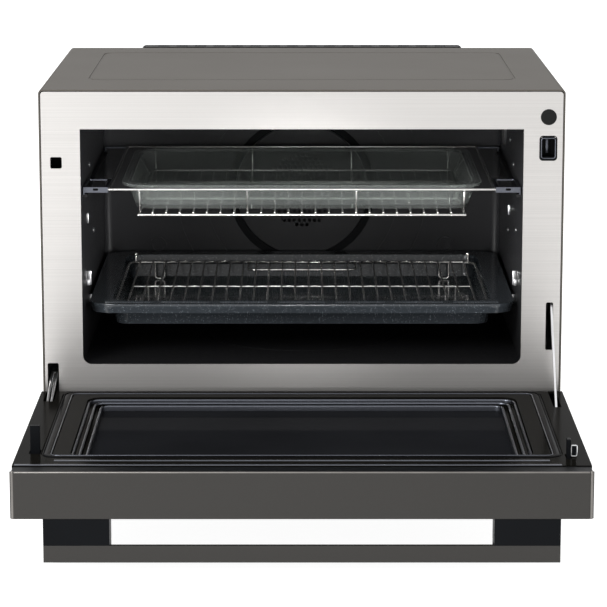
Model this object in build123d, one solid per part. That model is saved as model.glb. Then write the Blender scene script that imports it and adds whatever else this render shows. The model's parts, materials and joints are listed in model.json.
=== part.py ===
from build123d import *
import math
import os

# Countertop oven with a drop-down door, door open at rest, millimetres, +Z up.
# Every piece is laid out from the front plane: Y runs back into the body, and the open
# door lies at negative Y. save() then moves the whole oven so that its footprint,
# open door included, is centred on the origin.

# ---- overall sizes
WIDTH = 500.0
HEIGHT = 380.0
BODY_DEPTH = 388.0
REAR_COVER_DEPTH = 26.0
DOOR_REACH = 325.0
FOOT_HEIGHT = 12.0
SHEET = 1.5
FRONT_Y = (DOOR_REACH - BODY_DEPTH - REAR_COVER_DEPTH) / 2
HALF = WIDTH / 2

# ---- cooking cavity
CAVITY_WIDTH = 422.0
CAVITY_FLOOR = 114.0
CAVITY_CEILING = 342.2
CAVITY_BACK = 321.5
CAVITY_HALF = CAVITY_WIDTH / 2
LINER_OUT = CAVITY_HALF + SHEET
OPENING_CORNER = 8.5

# ---- convection fan behind the back wall
FAN_Z = 234.0
FAN_COVER_R = 70.0
FAN_R = 62.0
SHAFT_R = 4.0
RUNNING_GAP = 0.06
HOUSING_R = 95.0
HOUSING_BACK = 354.0
INSULATION = 8.0

# ---- door, as it lies open
DOOR_FACE = 91.2
DOOR_THICKNESS = 41.8
DOOR_OUTER = DOOR_FACE - DOOR_THICKNESS
GLASS = 4.0
DOOR_SHELL = 2.5
DOOR_GAP = 1.0
ROLL_R = 18.0
HINGE_Y = -(DOOR_GAP + ROLL_R)
HINGE_Z = DOOR_FACE - ROLL_R
DOOR_BACK = DOOR_OUTER + GLASS
PAN_END = -303.0
RAIL_END = -322.0
WINDOW_HALF = 191.0
WINDOW_NEAR = -55.0
WINDOW_FAR = -258.0
RECESS = 12.0
FASCIA_X = 131.5
EAR_X = 204.0
EAR_T = 6.0
PIN_R = 4.0

# ---- door linkages and latches
ARM_X = 240.0
ARM_T = 1.9
ARM_ANGLE = 50.4
ARM_PIVOT_Y = -69.4
ARM_PIVOT_Z = 80.4
ARM_LENGTH = 119.0
FORK_X = -240.0
FORK_ANGLE = 14.0
FORK_PIVOT_Y = -55.3
FORK_PIVOT_Z = 85.4
FORK_LENGTH = 72.0
SMALL_PIN_R = 2.0
LATCH_L_X = -234.0
LATCH_R_X = 232.5
LATCH_PIVOT_Z = 72.0
LATCH_L_Y = -254.3
LATCH_R_Y = -270.8

# ---- shelves and cookware
RACK_Z = 282.0
BASKET_Z = 255.2
RACK_FRONT = 15.0
RACK_BACK = 310.0
RACK_HALF = 186.0
BASKET_HALF = 158.5
BASKET_FRONT = 28.0
BASKET_BACK = 300.0
FRAME_WIRE = 1.4
THIN_WIRE = 0.9
TRAY_RIM = 168.8
TRAY_LIP = 160.2
TRAY_BASE = 145.0
TRAY_HALF = 205.5
TRAY_FRONT = 20.0
TRAY_BACK = 313.0
TRAY_T = 1.4
TRAY_FLANGE = 20.0
TRAY_SLOPE = 4.6
TRIVET_Z = 164.7
TRIVET_HALF = 182.0
TRIVET_FRONT = 45.0
TRIVET_BACK = 270.0
SHELF_GAP = 0.2
SEATED_TRAY = TRAY_LIP - SHELF_GAP
SEATED_RACK = 276.8

NODES = {}


def save(node, shape):
    """Move a finished piece to the oven's own origin and keep it under its name."""
    NODES[node] = Pos(0, FRONT_Y, 0) * shape


def block(x0, x1, y0, y1, z0, z1):
    """Box between two corners."""
    centre = Pos((x0 + x1) / 2, (y0 + y1) / 2, (z0 + z1) / 2)
    return centre * Box(x1 - x0, y1 - y0, z1 - z0)


def slab(x0, x1, y0, y1, z0, z1, radius):
    """Box whose four upright edges are rounded."""
    outline = RectangleRounded(x1 - x0, y1 - y0, radius)
    return extrude(Pos((x0 + x1) / 2, (y0 + y1) / 2, z0) * outline, amount=z1 - z0)


def panel(outline, y0, y1):
    """Outline drawn in X and Z, made solid from y0 back to y1."""
    return extrude(Plane.XZ.offset(-y1) * outline, amount=y1 - y0)


def profile(outline, x0, x1):
    """Outline drawn in Y and Z, made solid from x0 to x1."""
    return extrude(Plane.YZ.offset(x0) * outline, amount=x1 - x0)


def rod(start, end, radius):
    """Round bar between two points."""
    along = Vector(*end) - Vector(*start)
    return extrude(Plane(origin=start, z_dir=along) * Circle(radius), amount=along.length)


def disc_y(x, z, radius, y0, y1):
    """Round plate or bar lying along Y."""
    return panel(Pos(x, z) * Circle(radius), y0, y1)


def disc_x(y, z, radius, x0, x1):
    """Round plate or bar lying along X."""
    return profile(Pos(y, z) * Circle(radius), x0, x1)


def bent_tube(points, bend, radius):
    """Tube along straight runs joined by tangent bends."""
    path = FilletPolyline(*points, radius=bend)
    section = Plane(origin=path @ 0, z_dir=path % 0) * Circle(radius)
    return sweep(section, path=path)


def ring_slab(x_half, y0, y1, width, z0, z1, radius):
    """Flat rounded ring: its outer edge is x_half, y0, y1."""
    outer = slab(-x_half, x_half, y0, y1, z0, z1, radius)
    inner = slab(-x_half + width, x_half - width, y0 + width, y1 - width, z0, z1, radius - width)
    return outer - inner


def spread(first, last, count):
    """Evenly spaced places, both ends included."""
    step = (last - first) / (count - 1)
    return [first + step * i for i in range(count)]


# ======================================================================= body
CABINET_CORNER = 4.0
CABINET_REAR_CORNER = 10.0
CABINET_BOTTOM = FOOT_HEIGHT + SHEET
REAR_LIP = 16.0
EMBOSS_HALF = 209.0
EMBOSS_NEAR = 80.0
EMBOSS_FAR = 330.0
EMBOSS_DEPTH = 0.6
EMBOSS_BAND = 2.4
VENT_Y = (250.0, 340.0)
VENT_Z = (34.0, 82.0)
VENT_ROWS = 7
VENT_HEIGHT = 3.0


def cabinet_form(inset):
    """Body envelope with rounded top and rear edges, shrunk by the sheet thickness."""
    half = HALF - inset
    back = BODY_DEPTH - inset
    form = block(-half, half, -inset, back, CABINET_BOTTOM, HEIGHT - inset)
    rear_edges = form.edges().filter_by(lambda e: e.center().Y > back - 1)
    rear_edges = rear_edges.filter_by(lambda e: e.center().Z > CABINET_BOTTOM + 1)
    form = fillet(rear_edges, CABINET_REAR_CORNER - inset)
    top_edges = form.edges().filter_by(Axis.Y).group_by(Axis.Z)[-1]
    return fillet(top_edges, CABINET_CORNER - inset)


def outer_cabinet():
    """Folded sheet over the top and both sides, returned round the rear edges."""
    shell = cabinet_form(0) - cabinet_form(SHEET)
    lip_half = HALF - REAR_LIP
    shell -= block(-lip_half, lip_half, BODY_DEPTH - 5, BODY_DEPTH + 1, CABINET_BOTTOM, HEIGHT - REAR_LIP)
    groove_top = HEIGHT - EMBOSS_DEPTH
    groove = slab(-EMBOSS_HALF, EMBOSS_HALF, EMBOSS_NEAR, EMBOSS_FAR, groove_top, HEIGHT + 1, 14)
    island_half = EMBOSS_HALF - EMBOSS_BAND
    groove -= slab(-island_half, island_half, EMBOSS_NEAR + EMBOSS_BAND, EMBOSS_FAR - EMBOSS_BAND,
                   groove_top, HEIGHT + 1, 12)
    shell -= groove
    depth = VENT_Y[1] - VENT_Y[0]
    vent = RectangleRounded(depth, VENT_HEIGHT, VENT_HEIGHT / 2 - 0.1)
    for z in spread(VENT_Z[0], VENT_Z[1], VENT_ROWS):
        shell -= profile(Pos(VENT_Y[0] + depth / 2, z) * vent, -HALF - 1, HALF + 1)
    return shell


FRONT_BOTTOM = FOOT_HEIGHT + SHEET
FRONT_INSET = 2.1
FRONT_CORNER = 3.0
DRIP_HALF = 188.0
DRIP_BOTTOM = 17.0
DRIP_TOP = 41.0
ARM_SLOT = (234.5, 241.5, 128.0, 174.6)
FORK_SLOT = (-245.4, -234.6, 76.0, 115.0)
HOOK_HOLE = (-239.5, -228.5, 304.5, 315.5)
SOCKET_Z = 324.0
SOCKET_X = 234.3
SOCKET_W = 17.0
SOCKET_DEPTH = 20.0
SOCKET_H = 24.0
SOCKET_STEP = 1.0
SOCKET_FACE = 0.3
BUMPER_X = 234.3
BUMPER_Z = 353.8
BUMPER_R = 7.6
BUMPER_STEM = 3.0


def slot_cut(span):
    """Upright through slot in the front plate with round ends."""
    x0, x1, z0, z1 = span
    outline = Pos((x0 + x1) / 2, (z0 + z1) / 2) * RectangleRounded(x1 - x0, z1 - z0, 1.6)
    return panel(outline, -1, SHEET + 1)


def front_frame():
    """Brushed stainless face plate round the mouth of the cavity."""
    width = WIDTH - 2 * FRONT_INSET
    height = HEIGHT - FRONT_INSET - FRONT_BOTTOM
    outline = RectangleRounded(width, height, FRONT_CORNER)
    plate = panel(Pos(0, FRONT_BOTTOM + height / 2) * outline, 0, SHEET)
    mouth = block(-CAVITY_HALF, CAVITY_HALF, -1, SHEET + 1, CAVITY_FLOOR, CAVITY_CEILING)
    lower_edges = mouth.edges().filter_by(Axis.Y).group_by(Axis.Z)[0]
    plate -= fillet(lower_edges, OPENING_CORNER)
    plate -= block(-DRIP_HALF, DRIP_HALF, -1, SHEET + 1, DRIP_BOTTOM, DRIP_TOP)
    for span in (ARM_SLOT, FORK_SLOT, HOOK_HOLE):
        plate -= slot_cut(span)
    socket_hole = RectangleRounded(SOCKET_W - 2 * SOCKET_STEP, SOCKET_H - 2 * SOCKET_STEP, 3)
    plate -= panel(Pos(SOCKET_X, SOCKET_Z) * socket_hole, -1, SHEET + 1)
    return plate - disc_y(BUMPER_X, BUMPER_Z, BUMPER_STEM, -1, SHEET + 1)


RING_GAP = 5.0
RING_LINES = (103.0, 133.0)
FLOOR_RING_R = 97.0
FLOOR_RING_Y = 158.0
BOSS_X = 154.0
BOSS_Z = 174.0
BOSS_R = 9.0
LINE_HALF = 0.7
LINE_DEPTH = 0.7
CORNER_KEEP = 10.0


def cavity_liner():
    """Five-walled cooking chamber, rounded at the back, with ring embossing round the fan."""
    def form(grow):
        chamber = block(-CAVITY_HALF - grow, CAVITY_HALF + grow, SHEET, CAVITY_BACK + grow,
                        CAVITY_FLOOR - grow, CAVITY_CEILING + grow)
        deep = chamber.edges().filter_by(lambda e: e.center().Y > CAVITY_BACK)
        if grow == 0:
            deep = chamber.edges().group_by(Axis.Y)[-1]
        return fillet(deep, OPENING_CORNER + grow)
    liner = form(SHEET) - form(0)
    liner -= disc_y(0, FAN_Z, FAN_COVER_R + RING_GAP, CAVITY_BACK - 1, CAVITY_BACK + SHEET + 1)
    keep = CAVITY_HALF - CORNER_KEEP
    flat = block(-keep, keep, CAVITY_BACK - 1, CAVITY_BACK + LINE_DEPTH, CAVITY_FLOOR + CORNER_KEEP,
                 CAVITY_CEILING - CORNER_KEEP)
    for radius in RING_LINES:
        line = disc_y(0, FAN_Z, radius + LINE_HALF, CAVITY_BACK - 1, CAVITY_BACK + LINE_DEPTH)
        line -= disc_y(0, FAN_Z, radius - LINE_HALF, CAVITY_BACK - 2, CAVITY_BACK + SHEET)
        liner -= line & flat
    floor_ring = Pos(0, FLOOR_RING_Y, CAVITY_FLOOR) * Cylinder(FLOOR_RING_R + LINE_HALF, 2 * LINE_DEPTH)
    floor_ring -= Pos(0, FLOOR_RING_Y, CAVITY_FLOOR) * Cylinder(FLOOR_RING_R - LINE_HALF, SHEET * 2)
    liner -= floor_ring
    for x in (-BOSS_X, BOSS_X):
        boss = disc_y(x, BOSS_Z, BOSS_R, CAVITY_BACK - 2 * LINE_DEPTH, CAVITY_BACK + LINE_DEPTH)
        liner += boss - disc_y(x, BOSS_Z, BOSS_R - 2 * SHEET, CAVITY_BACK - SHEET, CAVITY_BACK)
    return liner - disc_x(LAMP_Y, LAMP_Z, LAMP_R, CAVITY_HALF - 1, LINER_OUT + 1)


LAMP_Y = 245.0
LAMP_Z = 312.0
LAMP_R = 17.0
RAIL_REAR = 311.0
RAIL_EDGE = 1.4
RAILS = ((SEATED_TRAY, 88.0, 9.0, 4.0), (SEATED_RACK, 20.0, 5.0, 3.0))


def side_rails():
    """Support ledges on both side walls: a wide pair for the tray, a narrow pair for the rack."""
    rails = []
    for side in (-1, 1):
        for top, front, depth, thickness in RAILS:
            ledge = block(CAVITY_HALF - depth, CAVITY_HALF, front, RAIL_REAR, top - thickness, top)
            ledge = fillet(ledge.edges().filter_by(Axis.Y).group_by(Axis.X)[0], RAIL_EDGE)
            rails.append(ledge if side > 0 else mirror(ledge, about=Plane.YZ))
    return rails


HOLE_PITCH = 5.4
HOLE_R = 1.7
HOLE_FIELD = 38.0
FLANGE_R = 80.0
FLANGE_Y = 327.0
COVER_PROUD = 1.0
COVER_SHEET = 1.2


def fan_cover():
    """Round perforated cover in the back wall, sunk round its edge into a deep ring channel."""
    row_step = HOLE_PITCH * math.sqrt(3) / 2
    rows = int(HOLE_FIELD / row_step)
    holes = []
    for row in range(-rows, rows + 1):
        for column in range(-rows, rows + 1):
            x = (column + (row % 2) / 2) * HOLE_PITCH
            z = row * row_step
            if math.hypot(x, z) < HOLE_FIELD:
                holes.append(Pos(x, z) * Circle(HOLE_R))
    front = CAVITY_BACK - COVER_PROUD
    rear = FLANGE_Y + COVER_SHEET
    inner = FAN_COVER_R - COVER_SHEET
    plate = panel(Pos(0, FAN_Z) * (Circle(FAN_COVER_R) - holes), front, front + COVER_SHEET)
    wall = disc_y(0, FAN_Z, FAN_COVER_R, front, rear) - disc_y(0, FAN_Z, inner, front - 1, rear + 1)
    flange = disc_y(0, FAN_Z, FLANGE_R, FLANGE_Y, rear) - disc_y(0, FAN_Z, inner, front, rear + 1)
    rim = disc_y(0, FAN_Z, FLANGE_R, CAVITY_BACK + SHEET, rear)
    rim -= disc_y(0, FAN_Z, FLANGE_R - COVER_SHEET, CAVITY_BACK, rear + 1)
    return plate + wall + flange + rim


def fan_housing():
    """Round cup behind the back wall that the fan and its heater sit in."""
    front = CAVITY_BACK + SHEET
    cup = disc_y(0, FAN_Z, HOUSING_R, front, HOUSING_BACK)
    cup -= disc_y(0, FAN_Z, HOUSING_R - SHEET, front - 1, HOUSING_BACK - SHEET)
    return cup - disc_y(0, FAN_Z, SHAFT_R + 1, HOUSING_BACK - 5, HOUSING_BACK + 1)


FAN_FRONT = 330.0
FAN_BACK = 346.0
FAN_BLADES = 12


def convection_fan():
    """Radial fan: back disc, hub and upright blades."""
    wheel = disc_y(0, FAN_Z, FAN_R, FAN_BACK - 1.2, FAN_BACK)
    wheel += disc_y(0, FAN_Z, 12, FAN_FRONT + 4, FAN_BACK)
    blade = block(22, FAN_R - 1, FAN_FRONT, FAN_BACK - 1, FAN_Z - 0.6, FAN_Z + 0.6)
    turn = Location((0, 0, FAN_Z))
    for index in range(FAN_BLADES):
        spin = turn * Rotation(0, 360 / FAN_BLADES * index, 0) * turn.inverse()
        wheel += spin * blade
    return wheel - disc_y(0, FAN_Z, SHAFT_R, FAN_FRONT - 1, FAN_BACK + 1)


def fan_motor():
    """Shaded-pole motor body with a bearing bore, held on the back of the housing."""
    can = disc_y(0, FAN_Z, 30, HOUSING_BACK, 380)
    can += block(-38, 38, HOUSING_BACK + 5, 374, FAN_Z - 26, FAN_Z + 26)
    return can - disc_y(0, FAN_Z, SHAFT_R + RUNNING_GAP, HOUSING_BACK - 1, 376)


RING_HEATER_R = 80.0
RING_HEATER_Y = 338.0
RING_TUBE = 3.2
FLAT_HALF = 150.0
FLAT_NEAR = 50.0
FLAT_FAR = 270.0
FLAT_RUNS = 6
FLAT_BEND = 22.0
FLAT_TUBE = 3.0


def ring_heater():
    """Tubular element that circles the fan."""
    return Pos(0, RING_HEATER_Y, FAN_Z) * Rotation(90, 0, 0) * Torus(RING_HEATER_R, RING_TUBE)


def flat_heater(z):
    """Serpentine tubular element lying flat against the chamber."""
    points = []
    for index, x in enumerate(spread(-FLAT_HALF, FLAT_HALF, FLAT_RUNS)):
        ends = (FLAT_NEAR, FLAT_FAR) if index % 2 == 0 else (FLAT_FAR, FLAT_NEAR)
        points.append((x, ends[0], z))
        points.append((x, ends[1], z))
    return bent_tube(points, FLAT_BEND, FLAT_TUBE)


def insulation():
    """Mineral wool jacket over the top, both sides and the back of the chamber."""
    out = LINER_OUT + INSULATION
    top = CAVITY_CEILING + SHEET + 16
    jacket = block(-out, out, 14, 366, CAVITY_FLOOR - SHEET, top + INSULATION)
    jacket -= block(-LINER_OUT - 0.5, LINER_OUT + 0.5, 10, HOUSING_BACK + 3, CAVITY_FLOOR - 10, top)
    jacket -= block(-44, 44, HOUSING_BACK, 370, FAN_Z - 32, FAN_Z + 32)
    return jacket - disc_x(LAMP_Y, LAMP_Z, LAMP_R + 2, LINER_OUT, out + 1)


HOLDER_R = 14.0
HOLDER_NEAR = 12.0
HOLDER_FAR = 26.5
BULB_R = 8.0
LENS_LIP = 2.0
LENS_PROUD = 2.4


def cavity_lamp():
    """Lamp holder and bulb behind the side wall."""
    holder = disc_x(LAMP_Y, LAMP_Z, HOLDER_R, LINER_OUT + HOLDER_NEAR, LINER_OUT + HOLDER_FAR)
    bulb = Pos(LINER_OUT + HOLDER_NEAR, LAMP_Y, LAMP_Z) * Sphere(BULB_R)
    return holder + bulb


def lamp_lens():
    """Round glass in the side wall."""
    lens = disc_x(LAMP_Y, LAMP_Z, LAMP_R, CAVITY_HALF - LENS_PROUD / 2, LINER_OUT)
    return lens + disc_x(LAMP_Y, LAMP_Z, LAMP_R + LENS_LIP, CAVITY_HALF - LENS_PROUD, CAVITY_HALF)


BOARD_LEFT = -170.0
BOARD_RIGHT = 90.0
BOARD_NEAR = 190.0
BOARD_FAR = 330.0
BOARD_LOW = 22.0
BOARD_T = 1.6
STANDOFF_IN = 10.0
STANDOFF_R = 4.0
MODULES = 4
MODULE_WIDE = 36.0
MODULE_DEEP = 44.0
MODULE_TALL = 38.0
MODULE_DROP = 5.0


def power_board():
    """Control electronics on standoffs in the space under the chamber."""
    top = BOARD_LOW + BOARD_T
    board = block(BOARD_LEFT, BOARD_RIGHT, BOARD_NEAR, BOARD_FAR, BOARD_LOW, top)
    for x in (BOARD_LEFT + STANDOFF_IN, BOARD_RIGHT - STANDOFF_IN):
        for y in (BOARD_NEAR + STANDOFF_IN, BOARD_FAR - STANDOFF_IN):
            standoff = Cylinder(STANDOFF_R, BOARD_LOW - CABINET_BOTTOM)
            board += Pos(x, y, (CABINET_BOTTOM + BOARD_LOW) / 2) * standoff
    middle = (BOARD_NEAR + BOARD_FAR) / 2
    first = BOARD_LEFT + MODULE_WIDE
    last = BOARD_RIGHT - MODULE_WIDE
    for index, x in enumerate(spread(first, last, MODULES)):
        height = MODULE_TALL - MODULE_DROP * index
        board += block(x - MODULE_WIDE / 2, x + MODULE_WIDE / 2, middle - MODULE_DEEP / 2,
                       middle + MODULE_DEEP / 2, top, top + height)
    return board


def base_plate():
    """Bottom pan with ventilation slots."""
    plate = block(-HALF + 2, HALF - 2, 3, 384, FOOT_HEIGHT, FOOT_HEIGHT + SHEET)
    for x in spread(-120, 120, 9):
        plate -= slab(x - 3, x + 3, 240, 330, FOOT_HEIGHT - 1, FOOT_HEIGHT + SHEET + 1, 2.9)
    return plate


SCREWS = [(x, z) for x in (-226, 226) for z in (60, 200, 340)]
INLET_X = -190.0
INLET_Z = 56.0
INLET_R = 7.9
INLET_HOLE_R = 8.0
INLET_COLLAR_R = 12.0
INLET_BORE_R = 3.8
INLET_IN = 7.0
INLET_OUT = 5.0
REAR_INSET = 11.0
REAR_HALF = HALF - REAR_INSET
REAR_FACE = BODY_DEPTH - SHEET


def rear_panel():
    """Back sheet with ventilation slots, screw holes and the cord opening."""
    sheet = block(-REAR_HALF, REAR_HALF, REAR_FACE - SHEET, REAR_FACE, CABINET_BOTTOM, HEIGHT - REAR_INSET)
    for z in spread(90, 170, 9):
        for x in (-120, -60, 0, 60, 120):
            slot = Pos(x, z) * RectangleRounded(46, 4, 1.9)
            sheet -= panel(slot, REAR_FACE - SHEET - 1, REAR_FACE + 1)
    for x, z in SCREWS:
        sheet -= disc_y(x, z, 1.6, REAR_FACE - SHEET - 1, REAR_FACE + 1)
    return sheet - disc_y(INLET_X, INLET_Z, INLET_HOLE_R, REAR_FACE - SHEET - 1, REAR_FACE + 1)


DUCT_HALF = 174.0
DUCT_LOW = 262.0
DUCT_WALL = 2.0
DUCT_CORNER = 5.0
LOUVRE_HALF = 150.0
LOUVRES = 16
TOP_LOUVRE_HALF = 6.0
TOP_LOUVRE = (7.0, 14.0)
REAR_LOUVRE_HALF = 2.0
REAR_LOUVRE = (290.0, 350.0)


def rear_cover():
    """Black exhaust duct on the back, with louvres along its top and rear."""
    back = BODY_DEPTH + REAR_COVER_DEPTH
    duct = block(-DUCT_HALF, DUCT_HALF, BODY_DEPTH, back, DUCT_LOW, HEIGHT)
    outer_edges = duct.edges().filter_by(lambda e: e.center().Y > BODY_DEPTH + 1)
    duct = fillet(outer_edges, DUCT_CORNER)
    inner = DUCT_HALF - DUCT_WALL
    duct -= block(-inner, inner, BODY_DEPTH - 1, back - DUCT_WALL, DUCT_LOW + DUCT_WALL, HEIGHT - DUCT_WALL)
    near, far = TOP_LOUVRE
    low, high = REAR_LOUVRE
    for x in spread(-LOUVRE_HALF, LOUVRE_HALF, LOUVRES):
        duct -= block(x - TOP_LOUVRE_HALF, x + TOP_LOUVRE_HALF, BODY_DEPTH + near, BODY_DEPTH + far,
                      HEIGHT - 2 * DUCT_WALL, HEIGHT + 1)
        duct -= block(x - REAR_LOUVRE_HALF, x + REAR_LOUVRE_HALF, back - 2 * DUCT_WALL, back + 1, low, high)
    return duct


def cord_inlet():
    """Moulded gland in the back panel, with a bore for the mains cord."""
    gland = disc_y(INLET_X, INLET_Z, INLET_R, REAR_FACE - INLET_IN, REAR_FACE)
    gland += disc_y(INLET_X, INLET_Z, INLET_COLLAR_R, REAR_FACE, REAR_FACE + INLET_OUT)
    return gland - disc_y(INLET_X, INLET_Z, INLET_BORE_R, REAR_FACE - INLET_IN - 1, REAR_FACE + INLET_OUT + 1)


def pan_head(head_r, head_t, shank_r, shank_l, driver):
    """Pan-head screw, head upward from Z 0, with a cross recess."""
    head = Pos(0, 0, head_t / 2) * Cylinder(head_r, head_t)
    head = fillet(head.edges().group_by(Axis.Z)[-1], head_t * 0.45)
    head -= Pos(0, 0, head_t) * Box(driver * 4, driver, head_t)
    head -= Pos(0, 0, head_t) * Box(driver, driver * 4, head_t)
    return head + Pos(0, 0, -shank_l / 2) * Cylinder(shank_r, shank_l)


def cabinet_screws():
    """Screws round the back panel."""
    screw = Rotation(-90, 0, 0) * pan_head(4, 2.2, 1.5, 8, 0.9)
    return [Pos(x, REAR_FACE, z) * screw for x, z in SCREWS]


FOOT_X = 205.0
FOOT_Y = (38.0, 348.0)
FOOT_R = 15.0


def feet():
    """Four round rubber feet."""
    foot = Pos(0, 0, FOOT_HEIGHT / 2) * Cylinder(FOOT_R, FOOT_HEIGHT)
    foot = fillet(foot.edges().group_by(Axis.Z)[0], 1.5)
    return [Pos(x, y, 0) * foot for x in (-FOOT_X, FOOT_X) for y in FOOT_Y]


def latch_socket():
    """Black moulded socket that the right latch hook enters."""
    face = RectangleRounded(SOCKET_W, SOCKET_H, 3.5)
    body = RectangleRounded(SOCKET_W - 2 * SOCKET_STEP, SOCKET_H - 2 * SOCKET_STEP, 3)
    centre = Pos(SOCKET_X, SOCKET_Z)
    slot = RectangleRounded(SOCKET_W - 3 * SOCKET_STEP, SOCKET_H - 4 * SOCKET_STEP, 1.2)
    socket = panel(centre * face, -SOCKET_FACE, 0) + panel(centre * body, 0, SOCKET_DEPTH)
    return socket - panel(Pos(SOCKET_X, SOCKET_Z + 1) * slot, -1, SOCKET_DEPTH - 2)


def door_switch():
    """Switch box on the side wall that the left latch hook works."""
    box = block(-HALF + SHEET, -224, 28, 46, 298, 322)
    return box + block(-237, -231, 26, 28, 306, 314)


def bumper_plug():
    """Round rubber stop in the face plate."""
    cap = disc_y(BUMPER_X, BUMPER_Z, BUMPER_R, -0.7, 0)
    cap = fillet(cap.edges().group_by(Axis.Y)[0], 0.5)
    return cap + disc_y(BUMPER_X, BUMPER_Z, BUMPER_STEM, 0, 5)


def both_sides(make):
    """The same piece on the left and on the right."""
    piece = make()
    return [piece, mirror(piece, about=Plane.YZ)]


FLANGE_LOW = 18.0
FLANGE_HIGH = 42.0


def hinge_bracket():
    """Ear that reaches forward under the door and up to the hinge axis."""
    neck = Polygon((0, FLANGE_LOW), (0, FLANGE_HIGH), (-9, FLANGE_HIGH), (-11, HINGE_Z), (-27, HINGE_Z),
                   (-27, 32), (-16, FLANGE_LOW), align=None)
    ear = profile(neck, EAR_X, EAR_X + EAR_T) + disc_x(HINGE_Y, HINGE_Z, 8, EAR_X, EAR_X + EAR_T)
    ear += block(EAR_X - 8, EAR_X + EAR_T + 8, -2, 0, FLANGE_LOW, FLANGE_HIGH)
    return ear - disc_x(HINGE_Y, HINGE_Z, PIN_R, EAR_X - 1, EAR_X + EAR_T + 1)


def hinge_pin():
    """Steel pin through the ear."""
    return disc_x(HINGE_Y, HINGE_Z, PIN_R, EAR_X - 7, EAR_X + EAR_T + 7)


def drip_tray():
    """Shallow tray that slides out under the door."""
    half = DRIP_HALF - 1
    tray = block(-half, half, 0, 160, DRIP_BOTTOM + 1, DRIP_TOP - 1)
    tray -= block(-half + 2, half - 2, 3, 158, DRIP_BOTTOM + 3, DRIP_TOP + 1)
    grip = Pos(0, DRIP_BOTTOM + 12) * RectangleRounded(90, 10, 4.8)
    return tray - panel(grip, -1, 1.4)


# ======================================================================= door
def roll_profile(shrink, bottom, front):
    """Door section in Y and Z: flat inner face running into the rolled hinge edge."""
    radius = ROLL_R - shrink
    section = Polygon((front, bottom), (HINGE_Y + radius, bottom), (HINGE_Y + radius, HINGE_Z),
                      (HINGE_Y, HINGE_Z), (HINGE_Y, HINGE_Z + radius), (front, HINGE_Z + radius), align=None)
    return section + Pos(HINGE_Y, HINGE_Z) * Circle(radius)


EAR_POCKET = 1.0
SEAL_HALF = 227.0
SEAL_NEAR = -21.0
SEAL_FAR = -275.0
SEAL_W = 8.0
SEAL_CORNER = 14.0
SEAL_SEAT = 1.2
SEAL_PROUD = 0.6
GLASS_TOP = 81.2
GLASS_LAP = 8.0
STEP = 6.0
STEP_RISE = 2.5


def ear_pockets():
    """Clearance in the door for the two hinge ears, for the whole swing."""
    x0 = EAR_X - EAR_POCKET
    x1 = EAR_X + EAR_T + EAR_POCKET
    pocket = block(x0, x1, HINGE_Y - 10, 1, DOOR_OUTER - 1, HINGE_Z + 9.5)
    return [pocket, mirror(pocket, about=Plane.YZ)]


def door_inner_frame():
    """Pressed inner pan: flat face, rolled hinge edge and a stepped well round the window."""
    pan = profile(roll_profile(0, DOOR_BACK, PAN_END), -HALF, HALF)
    hollow = profile(roll_profile(DOOR_SHELL, DOOR_BACK - 1, PAN_END + DOOR_SHELL),
                     -HALF + DOOR_SHELL, HALF - DOOR_SHELL)
    pan -= hollow
    recess_half = WINDOW_HALF + RECESS
    near = WINDOW_NEAR + RECESS
    far = WINDOW_FAR - RECESS
    wall = DOOR_SHELL
    pan += slab(-recess_half - wall, recess_half + wall, far - wall, near + wall, GLASS_TOP, DOOR_FACE, 16)
    pan -= slab(-recess_half, recess_half, far, near, GLASS_TOP + 5, DOOR_FACE + 1, 14)
    pan -= slab(-WINDOW_HALF - STEP, WINDOW_HALF + STEP, WINDOW_FAR - STEP, WINDOW_NEAR + STEP,
                GLASS_TOP + STEP_RISE, DOOR_FACE + 1, 12)
    pan -= slab(-WINDOW_HALF, WINDOW_HALF, WINDOW_FAR, WINDOW_NEAR, GLASS_TOP - 1, DOOR_FACE + 1, 10)
    seat = SEAL_HALF + 1.5
    pan -= ring_slab(seat, SEAL_FAR - 1.5, SEAL_NEAR + 1.5, SEAL_W + 3, DOOR_FACE - SEAL_SEAT, DOOR_FACE + 1,
                     SEAL_CORNER + 1.5)
    pan -= slab(236, 243.5, -84, -17, DOOR_FACE - 4, DOOR_FACE + 1, 1.5)
    pan -= slab(FORK_X - 5, FORK_X + 5, -60, -22, DOOR_FACE - 4, DOOR_FACE + 1, 1.5)
    pan -= slab(LATCH_L_X - 5.2, LATCH_L_X + 5.2, -262, -248, DOOR_FACE - 4, DOOR_FACE + 1, 1)
    pan -= slab(LATCH_R_X - 2.8, LATCH_R_X + 2.8, -279, -263, DOOR_FACE - 4, DOOR_FACE + 1, 1)
    for pocket in ear_pockets():
        pan -= pocket
    return pan


def door_seal():
    """Raised bead that meets the face plate when the door is shut."""
    bead = ring_slab(SEAL_HALF, SEAL_FAR, SEAL_NEAR, SEAL_W, DOOR_FACE - SEAL_SEAT, DOOR_FACE + SEAL_PROUD,
                     SEAL_CORNER)
    return fillet(bead.edges().group_by(Axis.Z)[-1], 0.8)


def door_inner_glass():
    """Inner window pane under the well."""
    half = WINDOW_HALF + GLASS_LAP
    low = GLASS_TOP - GLASS
    return slab(-half, half, WINDOW_FAR - GLASS_LAP, WINDOW_NEAR + GLASS_LAP, low, GLASS_TOP, 12)


HANDLE_X0 = 165.0
HANDLE_X1 = 222.0
HANDLE_BACK = -301.0
HANDLE_TOP = 26.0
HANDLE_LOW = 10.8
SCREW_Y = -312.0
BRACKET_SCREWS = [side * x for side in (-1, 1) for x in (178.0, 209.0)]
DISPLAY = (146.0, 216.0, -262.0, -226.0)
DIAL_X = 191.0
DIAL_Y = -150.0
DIAL_R = 22.0
BUTTON_Y = (-100.0, -72.0, -44.0)
BUTTON_W = 44.0
BUTTON_D = 12.0
BOARD_Z = 57.0
HOUSING_X = 222.0
HOUSING_TOP = 72.0
SCREW_SHANK_R = 1.94


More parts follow.
